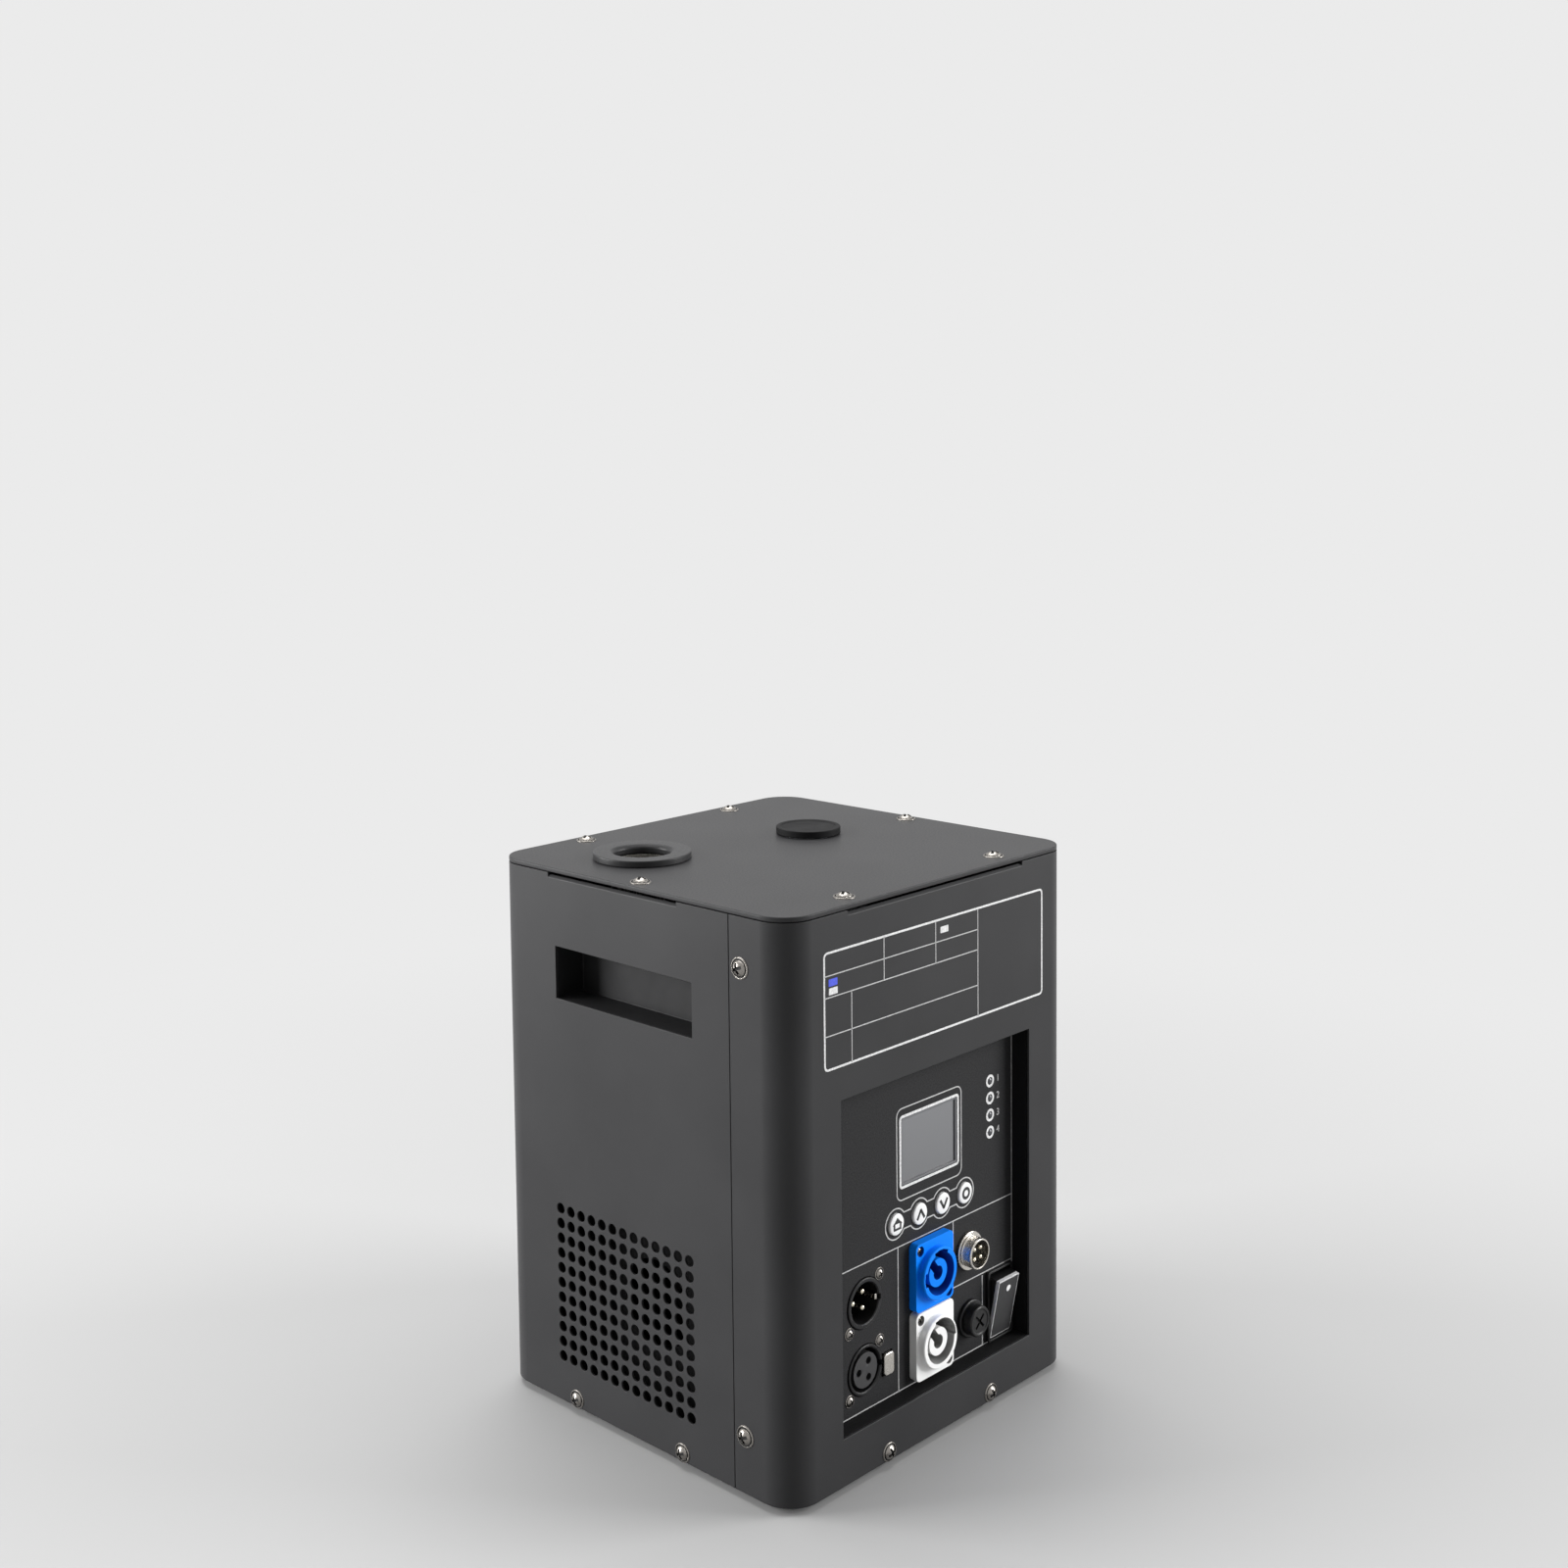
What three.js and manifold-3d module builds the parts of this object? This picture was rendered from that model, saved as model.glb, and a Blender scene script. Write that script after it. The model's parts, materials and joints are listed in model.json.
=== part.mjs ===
// Cold spark machine
// A stage unit that feeds metal granules through a hot tube and blows them out of a nozzle in its lid.
// Millimetres, +Z up, the control panel facing -Y, origin on the floor under the middle of the case.

import * as THREE from 'three';
import { mergeVertices } from 'three/addons/utils/BufferGeometryUtils.js';
import Module from 'manifold-3d';

const wasm = await Module();
wasm.setup();

// Whole case
const caseWidth = 180;
const caseDepth = 168;
const caseHeight = 228;
const cornerRadius = 14;
const sheet = 1.2;
const lidThickness = 2;

// Clearances and cutters
const fitGap = 0.3;
const overrun = 2;
const overlap = 0.6;
const weldDistance = 0.0001;

// Counts of flats on round forms
const fineSides = 24;
const roundSides = 16;
const smallSides = 12;
const pinSides = 8;
const cornerSteps = 5;

// Front cover, with its window and the returns that wrap on to the sides
const coverReturn = 29.7;
const windowSideMargin = 29.65;
const windowHeight = 134;
const windowBottom = 19;

// Tabs along the top of the walls, which take the lid's screws
const tabDepth = 14;
const tabScrewMargin = 8;
const sideTabLength = 76;
const sideTabCentre = 12;

// Joggled strips of the side shell behind the cover's returns
const stripWidth = 14;
const stripRoot = 3;
const stripEndClearance = 12;

// Machine screws
const screwHeadRadius = 3.6;
const screwHeadHeight = 2.2;
const screwShankRadius = 1.95;
const screwHoleRadius = 2.3;
const screwShankLength = 7;
const headRadiusShares = [0, 0.65, 1];
const headHeightShares = [1, 0.88, 0.16];

// Places of the lid's screws and of the screws in the cover's returns
const lidScrewFrontHalf = 47.5;
const lidScrewFrontInset = 8.8;
const lidScrewRearHalf = 45;
const lidScrewRearInset = 7.5;
const lidScrewSideInset = 6.7;
const lidScrewSideY = 1;
const coverScrewInset = 5.7;
const coverScrewTopInset = 22;
const coverScrewLowerZ = 23;

// Places of the screws along the bottom edge
const edgeScrewZ = 3.7;
const edgeScrewHalf = 33.1;
const edgeScrewSeamInset = 29.1;
const edgeScrewRearInset = 46.3;

// Base tray and feet
const baseThickness = 1.5;
const baseFlangeHeight = 9;
const footHeight = 3;
const footTopRadius = 10;
const footBottomRadius = 8.5;
const footRecessRadius = 4;
const footRecessDepth = 1.6;
const footStemRadius = 2.5;
const footStemLength = 4;
const footInsetX = 24;
const footInsetY = 24;

// Carrying slots and the cups behind them
const slotSeamInset = 20.5;
const slotRearInset = 37.8;
const slotHeight = 22;
const slotTopInset = 43.7;
const cupDepth = 14;
const cupWall = 1.2;
const cupFlange = 6;
const cupMargin = 0.6;

// Grid of vents low in both sides
const ventPitch = 7.4;
const ventRadius = 3.5;
const ventSides = 4;
const ventSeamInset = 25;
const ventRearInset = 39.2;
const ventBottom = 20.8;
const ventHeight = 61.5;

// Nozzle in the lid
const nozzleSideInset = 38.2;
const nozzleYShare = 0.1994;
const nozzleBoreRadius = 12;
const collarRadius = 20.8;
const collarHeight = 3;
const collarRound = 0.7;
const collarBevel = 1.2;
const collarLip = 1;
const collarSpigotRadius = 16;
const collarSpigotLength = 8;

// Spark tube, its heater and the adapter it stands in
const tubeWall = 1.2;
const heaterRadius = 19;
const heaterLength = 46;
const heaterRise = 15;
const heaterRibs = 4;
const heaterRibDepth = 1.4;
const heaterTerminalWidth = 12;
const heaterTerminalDepth = 6;
const heaterTerminalHeight = 14;
const adapterFlangeRadius = 16.5;
const adapterFlangeHeight = 2;
const adapterHeight = 10;
const adapterFloor = 4;
const adapterWall = 2;

// Hopper and its cap
const hopperSideInset = 59;
const hopperY = 14;
const hopperWall = 1.5;
const neckRadius = 12.5;
const neckFlangeRadius = 17;
const neckFlangeHeight = 3;
const neckLength = 24;
const hopperRadius = 29.5;
const hopperShoulder = 12;
const hopperConeHeight = 29;
const hopperStand = 2;
const hopperSpigotRadius = 8.5;
const hopperSeatLedge = 0.4;
const capRadius = 14.25;
const capHeight = 3;
const capRound = 0.8;
const capDish = 0.5;
const capRim = 1.8;
const capPlugLength = 12;
const capGrooveDepth = 0.9;
const capGrooveWidth = 2;
const capGrooveDrop = 5;

// Feeder
const feederAxisRise = 20;
const feederHalfLength = 15;
const feederHalfWidth = 14;
const feederTop = 11;
const augerRadius = 6.1;
const augerClearance = 0.5;
const augerShaftRadius = 2.2;
const augerPitch = 13;
const augerStepsPerTurn = 6;
const augerSectionSteps = 3;
const flightWidthShare = 0.16;
const augerHubRadius = 4.4;
const augerHubLength = 8;
const augerEndClearance = 2;
const feedTubeWall = 1.4;
const feedTubeSocket = 6;
const feedTubeEntry = 0.8;
const motorRadius = 16;
const motorGearboxLength = 15;
const motorCanRadius = 14;
const motorCanLength = 18;
const motorCanBevel = 1.2;
const motorShaftReach = 6;
const motorShaftRadius = 2;
const motorBoreDepth = 8;

// Inner frame: a deck on two legs
const frameSheet = 1.5;
const deckUnderside = 86.5;
const frameFrontInset = 54;
const frameRearMargin = 18.5;
const frameLegHoleMargin = 2;

// Blower under the nozzle
const blowerHalfThickness = 15;
const blowerWall = 1.5;
const scrollOuterRadius = 37.5;
const scrollInnerRadius = 29;
const scrollSteps = 15;
const ductWidth = 30;
const ductReach = 40.2;
const blowerInletRadius = 19;
const wheelRadius = 25;
const wheelBladeDepth = 5.5;
const wheelDisc = 1.5;
const wheelHubRadius = 7;
const wheelHubReach = 2;
const wheelBlades = 14;
const wheelBladeThickness = 1;
const wheelBladeAngle = 35;
const wheelBackClearance = 4;
const wheelFrontClearance = 4;
const spindleRadius = 1.5;

// Cooling fan behind the right-hand wall
const fanSize = 60;
const fanThickness = 20;
const fanCornerRadius = 4;
const fanBoreRadius = 28;
const fanHubRadius = 12;
const fanBlades = 7;
const fanBladeThickness = 1.2;
const fanBladeAngle = 38;
const fanBladeChord = 15;
const fanTipGap = 1.2;
const rotorFrontClearance = 2;
const rotorBoreRoof = 2;
const fanScrewRadius = 2.1;
const fanScrewInset = 5;
const fanStrutWidth = 3;
const fanStrutDepth = 3;
const fanCentreOffset = 3.3;
const fanCentreZ = 51.5;

// Power supply on the base tray
const supplyBlowerGap = 17.2;
const supplyFrontMargin = 3;
const supplyRearInset = 35;
const supplyHeight = 36;
const supplyLedgeDepth = 13;
const supplyLedgeHeight = 20;
const supplySlots = 8;
const supplySlotWidth = 3;
const supplySlotDepth = 1.5;
const supplySlotMargin = 12;
const terminalWidth = 7;
const terminalHeight = 9;
const terminalCount = 7;
const terminalWall = 1.2;

// Control board on the rear wall
const boardThickness = 1.6;
const boardWidth = 90;
const boardHeight = 70;
const boardSideInset = 25;
const boardBottomZ = 96;
const boardStandoff = 5;
const standoffRadius = 3;
const standoffInset = 5;
const heatSinkWidth = 30;
const heatSinkHeight = 26;
const heatSinkDepth = 15;
const heatSinkFins = 6;
const heatSinkFloor = 3;
const heatSinkFinThickness = 1.6;
const relayWidth = 15;
const relayHeight = 19;
const relayDepth = 15;
const capacitorRadius = 6;
const capacitorDepth = 20;
const headerHeight = 8;
const headerDepth = 10;

// Control panel
const panelSetback = 8.5;
const panelFlange = 8;

// Display, its board and the lamps
const displayXShare = 0.0298;
const displayZ = 117.8;
const displayWidth = 36.4;
const displayHeight = 28;
const displayRecess = 0.4;
const displayBorder = 4;
const displayBoardGap = 8;
const displayBoardLeftMargin = 14.6;
const displayBoardRightMargin = 14.8;
const displayBoardHeight = 58;
const displayBoardZ = 112;
const displayStandoffRadius = 2.5;
const lampInset = 16.15;
const lampTopZ = 132.6;
const lampPitch = 7.37;
const lampCount = 4;
const lampRadius = 1.4;
const lampBlockWidth = 4.4;
const lampBlockEnd = 2.6;

// Push buttons
const buttonNames = ['button_menu', 'button_up', 'button_down', 'button_enter'];
const buttonFirstShare = -0.1524;
const buttonPitchShare = 0.1234;
const buttonZ = 89.5;
const buttonRadius = 4.4;
const buttonProud = 1.2;
const buttonRound = 0.4;
const buttonFlangeRadius = 5.4;
const buttonFlangeThickness = 1.3;
const buttonStemRadius = 1.6;
const buttonTravel = 0.5;
const switchBodySize = 6;
const switchBodyHeight = 3.5;
const switchPlungerRadius = 1.7;
const switchPlungerHeight = 0.8;

// Control line sockets
const dmxInZ = 63.4;
const dmxOutZ = 36.1;
const dmxShellRadius = 10.2;
const dmxShellProud = 0.8;
const dmxShellLength = 22;
const dmxInBoreRadius = 8;
const dmxOutBoreRadius = 9;
const dmxBoreDepth = 14;
const dmxFlangeHalfWidth = 12;
const dmxFlangeHeight = 26;
const dmxFlangeThickness = 2;
const dmxKeyWidth = 2.4;
const dmxKeyDepth = 1.1;
const dmxInsertBase = 2;
const dmxPinCircle = 4.1;
const dmxPinRadius = 1.15;
const dmxPinLength = 9;
const dmxHoleRadius = 1.5;
const dmxHoleDepth = 8;
const dmxCoreRadius = 7.1;
const dmxPinAngles = [60, 180, 300];
const latchOffset = 13.7;
const latchDrop = 1.9;
const latchWidth = 6;
const latchHeight = 9.2;
const latchProud = 1.6;
const latchLength = 10;
const latchStop = 1;
const latchStopDepth = 3;
const latchGuide = 1.5;

// Mains sockets
const powerInZ = 64.6;
const powerOutZ = 35.7;
const powerFlangeWidth = 24.2;
const powerFlangeHeight = 28.4;
const powerFlangeCorner = 2;
const powerFlangeProud = 4;
const powerCollarRadius = 10.3;
const powerCollarProud = 7;
const powerBodyLength = 24;
const powerRecessRadius = 8.6;
const powerCoreRadius = 5.5;
const powerRecessDepth = 10;
const powerKeyWidth = 3.6;
const powerKeyDepth = 1.1;
const powerCoreBore = 2.5;
const powerCoreBoreDepth = 8;
const powerCoreSlot = 1.5;
const powerInAngles = { keys: [65, 190], slot: 112 };
const powerOutAngles = { keys: [40, 250], slot: 82 };

// Round four-pin socket
const remoteZ = 64;
const remoteFlangeRadius = 8.2;
const remoteFlangeHeight = 1.3;
const remoteBarrelRadius = 6.5;
const remoteBarrelProud = 6.4;
const remoteRound = 0.5;
const remoteBoreRadius = 5.5;
const remoteThreadRadius = 5.8;
const remoteBodyLength = 14;
const remoteBoreDepth = 10;
const remoteInsertProud = 2.4;
const remotePins = 4;
const remotePinCircle = 2.9;
const remotePinRadius = 0.7;
const remotePinLength = 3;

// Fuse, its cap and its holder
const fuseOffset = 0.5;
const fuseZ = 34.6;
const fuseFlangeRadius = 8;
const fuseFlangeHeight = 1.5;
const fuseBarrelRadius = 6.2;
const fuseBarrelLength = 34;
const fuseBoreRadius = 4.5;
const fuseBoreDepth = 28;
const fuseCapRadius = 6.5;
const fuseCapHeight = 4;
const fuseCapRound = 0.6;
const fuseCapShankRadius = 4.1;
const fuseCapShankLength = 8;
const fuseCapSlotLength = 8;
const fuseCapSlotWidth = 1.2;
const fuseCapSlotDepth = 1.4;
const fuseRadius = 2.5;
const fuseLength = 20;
const fuseSocketDepth = 5;

// Mains switch
const switchZ = 35.2;
const bezelWidth = 17.2;
const bezelHeight = 30.8;
const bezelProud = 1.8;
const switchBodyWidth = 16;
const switchBodyLength = 24;
const switchBodyInset = 0.4;
const rockerWidth = 13.9;
const rockerHalfHeight = 13.2;
const rockerFace = 5.5;
const rockerPivotDepth = 1;
const rockerTilt = 11;
const rockerShoulderReach = 2.5;
const rockerShoulderHalfHeight = 13.3;
const rockerBack = 4.5;
const rockerBackHalfHeight = 5;
const rockerOpeningHalfHeight = 14.4;
const rockerPinRadius = 0.9;
const rockerPinReach = 0.7;
const cradleDepth = 12;

// Shares of the panel's spare width that lie left of the sockets, the fuse and the switch
const spareShares = { dmx: 0.30826, power: 0.32448, remote: 0.20059, switch: 0.0944 };

// Derived places
const seamY = -caseDepth / 2 + coverReturn;
const lidUnderside = caseHeight - lidThickness;
const wallTop = lidUnderside - fitGap;
const wallInnerX = caseWidth / 2 - sheet;
const wallInnerRearY = caseDepth / 2 - sheet;
const panelFaceY = -caseDepth / 2 + panelSetback;
const panelFlangeFront = panelSetback - sheet - fitGap;
const windowWidth = caseWidth - 2 * windowSideMargin;
const windowCentreZ = windowBottom + windowHeight / 2;
const slotY = [seamY + slotSeamInset, caseDepth / 2 - slotRearInset];
const slotCentreZ = caseHeight - slotTopInset;
const nozzleX = nozzleSideInset - caseWidth / 2;
const nozzleY = nozzleYShare * caseDepth;
const hopperX = caseWidth / 2 - hopperSideInset;
const deckTop = deckUnderside + frameSheet;
const frameFront = frameFrontInset - caseDepth / 2;
const frameRear = nozzleY + frameRearMargin;
const augerZ = deckTop + feederAxisRise;
const tubeRadius = nozzleBoreRadius + tubeWall;
const tubeTop = caseHeight - collarLip - fitGap;
const fanCentreY = (frameFront + frameRear) / 2 - fanCentreOffset;
const fanCentreX = wallInnerX - fitGap - fanThickness / 2;
const frameRight = fanCentreX - fanThickness / 2 - fitGap;
const frameLeft = nozzleX - blowerHalfThickness - fitGap - frameSheet;
const blowerY = nozzleY - (scrollOuterRadius - ductWidth / 2);
const blowerZ = deckUnderside - fitGap - ductReach;
const feedSpan = Math.hypot(nozzleX - hopperX, nozzleY - hopperY);
const feedAngle = Math.atan2(nozzleY - hopperY, nozzleX - hopperX);
const augerBore = augerRadius + augerClearance;
const feedTubeRadius = augerBore + feedTubeWall;
const hopperSpigotDepth = feederTop - augerBore - hopperSeatLedge;
const funnelBottom = augerZ + feederTop + hopperStand;
const funnelTop = funnelBottom + hopperConeHeight;

// Places across the panel
const socketWidth = dmxFlangeHalfWidth + latchOffset + latchWidth / 2 + powerFlangeWidth;
const fittingWidth = socketWidth + remoteFlangeRadius + fuseOffset + fuseFlangeRadius + bezelWidth;
const spareWidth = windowWidth - fittingWidth;
const dmxX = spareShares.dmx * spareWidth + dmxFlangeHalfWidth - windowWidth / 2;
const latchEdge = dmxX + latchOffset + latchWidth / 2;
const powerX = latchEdge + spareShares.power * spareWidth + powerFlangeWidth / 2;
const remoteX = powerX + powerFlangeWidth / 2 + spareShares.remote * spareWidth + remoteFlangeRadius;
const fuseX = remoteX + fuseOffset;
const switchX = fuseX + fuseFlangeRadius + spareShares.switch * spareWidth + bezelWidth / 2;
const displayX = displayXShare * windowWidth;
const lampX = windowWidth / 2 - lampInset;
const buttonFirstX = buttonFirstShare * windowWidth;
const buttonPitch = buttonPitchShare * windowWidth;
const displayBoardLeft = buttonFirstX - displayBoardLeftMargin;
const displayBoardWidth = lampX + displayBoardRightMargin - displayBoardLeft;
const displayBoardX = displayBoardLeft + displayBoardWidth / 2;

// Finishes
const blackPaint = { color: 0x3b3b3c, roughness: 0.6, metalness: 0.1 };
const blackPlastic = { color: 0x1b1b1c, roughness: 0.5, metalness: 0 };
const greyPlastic = { color: 0x3c3c3e, roughness: 0.5, metalness: 0 };
const whitePlastic = { color: 0xe6e6e6, roughness: 0.4, metalness: 0 };
const bluePlastic = { color: 0x0a62e8, roughness: 0.35, metalness: 0 };
const displayGlass = { color: 0x87888b, roughness: 0.2, metalness: 0 };
const lampPlastic = { color: 0x55565a, roughness: 0.3, metalness: 0 };
const nickel = { color: 0xc9c5be, roughness: 0.25, metalness: 1 };
const steel = { color: 0xa9abad, roughness: 0.4, metalness: 1 };
const stainless = { color: 0xb4b2ad, roughness: 0.3, metalness: 1 };
const aluminium = { color: 0xb8babd, roughness: 0.4, metalness: 1 };
const rubber = { color: 0x202020, roughness: 0.9, metalness: 0 };
const ceramic = { color: 0xd9d2c4, roughness: 0.8, metalness: 0 };
const circuitBoard = { color: 0x1f5b3a, roughness: 0.5, metalness: 0 };
const fuseGlass = { color: 0xcfd6d8, roughness: 0.1, metalness: 0 };

// Solids, cuts and joins
function signedVolume(points, corners) {
  const [a, b, c] = [new THREE.Vector3(), new THREE.Vector3(), new THREE.Vector3()];
  let volume = 0;
  for (let i = 0; i < corners.length; i += 3) {
    a.fromArray(points, corners[i] * 3);
    b.fromArray(points, corners[i + 1] * 3);
    c.fromArray(points, corners[i + 2] * 3);
    volume += a.dot(b.cross(c)) / 6;
  }
  return volume;
}

function solidOf(geometry) {
  const bare = geometry.clone();
  bare.deleteAttribute('normal');
  bare.deleteAttribute('uv');
  const merged = mergeVertices(bare, weldDistance);
  const points = merged.attributes.position.array;
  const corners = [];
  for (let i = 0; i < merged.index.count; i += 3) {
    const [a, b, c] = merged.index.array.slice(i, i + 3);
    if (a !== b && b !== c && c !== a) corners.push(a, b, c);
  }
  if (signedVolume(points, corners) < 0) corners.reverse();
  return new wasm.Manifold(new wasm.Mesh({
    numProp: 3,
    vertProperties: Float32Array.from(points),
    triVerts: Uint32Array.from(corners),
  }));
}

function geometryOf(solid) {
  const mesh = solid.getMesh();
  const geometry = new THREE.BufferGeometry();
  geometry.setAttribute('position', new THREE.BufferAttribute(Float32Array.from(mesh.vertProperties), 3));
  geometry.setIndex(new THREE.BufferAttribute(Uint32Array.from(mesh.triVerts), 1));
  geometry.computeVertexNormals();
  return geometry;
}

function cut(geometry, ...tools) {
  return geometryOf(tools.reduce((left, tool) => left.subtract(solidOf(tool)), solidOf(geometry)));
}

function join(first, ...others) {
  return geometryOf(others.reduce((left, next) => left.add(solidOf(next)), solidOf(first)));
}

// Basic forms
function box([x0, x1], [y0, y1], [z0, z1]) {
  const geometry = new THREE.BoxGeometry(x1 - x0, y1 - y0, z1 - z0);
  return geometry.translate((x0 + x1) / 2, (y0 + y1) / 2, (z0 + z1) / 2);
}

function rod(radius, z0, z1, sides = roundSides) {
  const geometry = new THREE.CylinderGeometry(radius, radius, z1 - z0, sides);
  return geometry.rotateX(Math.PI / 2).translate(0, 0, (z0 + z1) / 2);
}

function turned(profile, sides = roundSides) {
  const points = profile.map(([radius, height]) => new THREE.Vector2(radius, height));
  return new THREE.LatheGeometry(points, sides).rotateX(Math.PI / 2);
}

function ring(inner, outer, z0, z1, sides = roundSides) {
  return turned([[inner, z0], [outer, z0], [outer, z1], [inner, z1], [inner, z0]], sides);
}

function plate(shape, z0, z1) {
  const settings = { depth: z1 - z0, bevelEnabled: false, curveSegments: cornerSteps };
  return new THREE.ExtrudeGeometry(shape, settings).translate(0, 0, z0);
}

function roundedRectangle(width, height, radius) {
  const [x, y] = [width / 2, height / 2];
  const shape = new THREE.Shape();
  shape.moveTo(-x + radius, -y);
  shape.lineTo(x - radius, -y);
  shape.absarc(x - radius, -y + radius, radius, -Math.PI / 2, 0);
  shape.lineTo(x, y - radius);
  shape.absarc(x - radius, y - radius, radius, 0, Math.PI / 2);
  shape.lineTo(-x + radius, y);
  shape.absarc(-x + radius, y - radius, radius, Math.PI / 2, Math.PI);
  shape.lineTo(-x, -y + radius);
  shape.absarc(-x + radius, -y + radius, radius, Math.PI, Math.PI * 1.5);
  return shape;
}

function centredBox(width, height, z0, z1) {
  return box([-width / 2, width / 2], [-height / 2, height / 2], [z0, z1]);
}

function piece(name, geometry, finish) {
  const mesh = new THREE.Mesh(geometryOf(solidOf(geometry)), new THREE.MeshStandardMaterial({ ...finish }));
  mesh.name = name;
  return mesh;
}

function assembly(position, ...members) {
  const group = new THREE.Group();
  group.position.set(...position);
  group.add(...members);
  return group;
}

// A wall bent twice, closed at y = length and open at y = 0
function bentWall(width, length, z0, z1) {
  const half = width / 2;
  const bendY = length - cornerRadius;
  const shape = new THREE.Shape();
  shape.moveTo(-half, 0);
  shape.lineTo(-half + sheet, 0);
  shape.lineTo(-half + sheet, bendY);
  shape.absarc(-half + cornerRadius, bendY, cornerRadius - sheet, Math.PI, Math.PI / 2, true);
  shape.lineTo(half - cornerRadius, length - sheet);
  shape.absarc(half - cornerRadius, bendY, cornerRadius - sheet, Math.PI / 2, 0, true);
  shape.lineTo(half - sheet, 0);
  shape.lineTo(half, 0);
  shape.lineTo(half, bendY);
  shape.absarc(half - cornerRadius, bendY, cornerRadius, 0, Math.PI / 2, false);
  shape.lineTo(-half + cornerRadius, length);
  shape.absarc(-half + cornerRadius, bendY, cornerRadius, Math.PI / 2, Math.PI, false);
  return plate(shape, z0, z1);
}

// A tab bent inwards at the top of a wall that faces -Y, and the groove its bend leaves outside
function tab(length) {
  return box([-length / 2, length / 2], [0, tabDepth], [-sheet, 0]);
}

function tabGroove(length) {
  const groove = new THREE.Shape();
  groove.moveTo(-sheet, -2 * sheet);
  groove.lineTo(2 * sheet, sheet);
  groove.lineTo(-sheet, sheet);
  return plate(groove, -length / 2, length / 2).rotateX(Math.PI / 2).rotateZ(Math.PI / 2);
}

function onWall(geometry, side, along, depthToWall) {
  const turns = { front: 0, right: Math.PI / 2, rear: Math.PI, left: -Math.PI / 2 };
  return geometry.translate(along, -depthToWall, wallTop).rotateZ(turns[side]);
}

const lidScrewPlaces = [
  [-lidScrewFrontHalf, -caseDepth / 2 + lidScrewFrontInset],
  [lidScrewFrontHalf, -caseDepth / 2 + lidScrewFrontInset],
  [-lidScrewRearHalf, caseDepth / 2 - lidScrewRearInset],
  [lidScrewRearHalf, caseDepth / 2 - lidScrewRearInset],
  [-caseWidth / 2 + lidScrewSideInset, lidScrewSideY],
  [caseWidth / 2 - lidScrewSideInset, lidScrewSideY],
];

function lidScrewHoles() {
  const [bottom, top] = [wallTop - sheet - overrun, caseHeight + overrun];
  return lidScrewPlaces.map(([x, y]) => rod(screwHoleRadius, bottom, top, pinSides).translate(x, y, 0));
}

function coverScrewHoles() {
  const reach = caseWidth / 2 + overrun;
  const crossHole = () => rod(screwHoleRadius, -reach, reach, pinSides).rotateY(Math.PI / 2);
  return [caseHeight - coverScrewTopInset, coverScrewLowerZ].map((z) => (
    crossHole().translate(0, seamY - coverScrewInset, z)
  ));
}

function headDome() {
  return headRadiusShares.map((share, i) => [share * screwHeadRadius, headHeightShares[i] * screwHeadHeight]);
}

// Head of a bottom edge screw, one solid with the wall that it holds
function edgeScrew(side, along, depthToWall) {
  const head = turned([...headDome(), [screwHeadRadius, -overlap], [0, -overlap]], pinSides);
  head.rotateX(Math.PI / 2).translate(0, 0, edgeScrewZ - wallTop);
  return onWall(head, side, along, depthToWall);
}

function edgeScrewPair(side) {
  return [-edgeScrewHalf, edgeScrewHalf].map((along) => edgeScrew(side, along, caseDepth / 2));
}

function frontCover() {
  const wall = bentWall(caseWidth, coverReturn, 0, wallTop).rotateZ(Math.PI).translate(0, seamY, 0);
  const tabLength = 2 * (lidScrewFrontHalf + tabScrewMargin);
  const topTab = onWall(tab(tabLength), 'front', 0, caseDepth / 2);
  const groove = onWall(tabGroove(tabLength), 'front', 0, caseDepth / 2);
  const opening = box(
    [-windowWidth / 2, windowWidth / 2],
    [-caseDepth / 2 - overrun, -caseDepth / 2 + sheet + overrun],
    [windowBottom, windowBottom + windowHeight],
  );
  const body = join(wall, topTab, ...edgeScrewPair('front'));
  const shape = cut(body, groove, opening, ...lidScrewHoles(), ...coverScrewHoles());
  return piece('front_cover', shape, blackPaint);
}

// Strip of the side shell that lies behind the cover's return, stepped in by one sheet
function joggledStrip() {
  const outer = wallInnerX - fitGap;
  const root = [seamY + fitGap, seamY + fitGap + stripRoot];
  const height = [stripEndClearance, wallTop - tabDepth];
  const strip = box([outer - sheet, outer], [seamY - stripWidth, root[1]], height);
  const step = box([outer - sheet, caseWidth / 2 - sheet / 2], root, height);
  return join(strip, step);
}

// Places along a line from start to end, about one pitch apart
function spaced(start, end, pitch) {
  const steps = Math.round((end - start) / pitch);
  return Array.from({ length: steps + 1 }, (_, i) => start + (end - start) * i / steps);
}

// Holes that run through both side walls
function ventHoles() {
  const reach = caseWidth / 2 + overrun;
  const columns = spaced(seamY + ventSeamInset, caseDepth / 2 - ventRearInset, ventPitch);
  const rows = spaced(ventBottom, ventBottom + ventHeight, ventPitch);
  return columns.flatMap((y) => rows.map((z) => (
    rod(ventRadius, -reach, reach, ventSides).rotateY(Math.PI / 2).translate(0, y, z)
  )));
}

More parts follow.
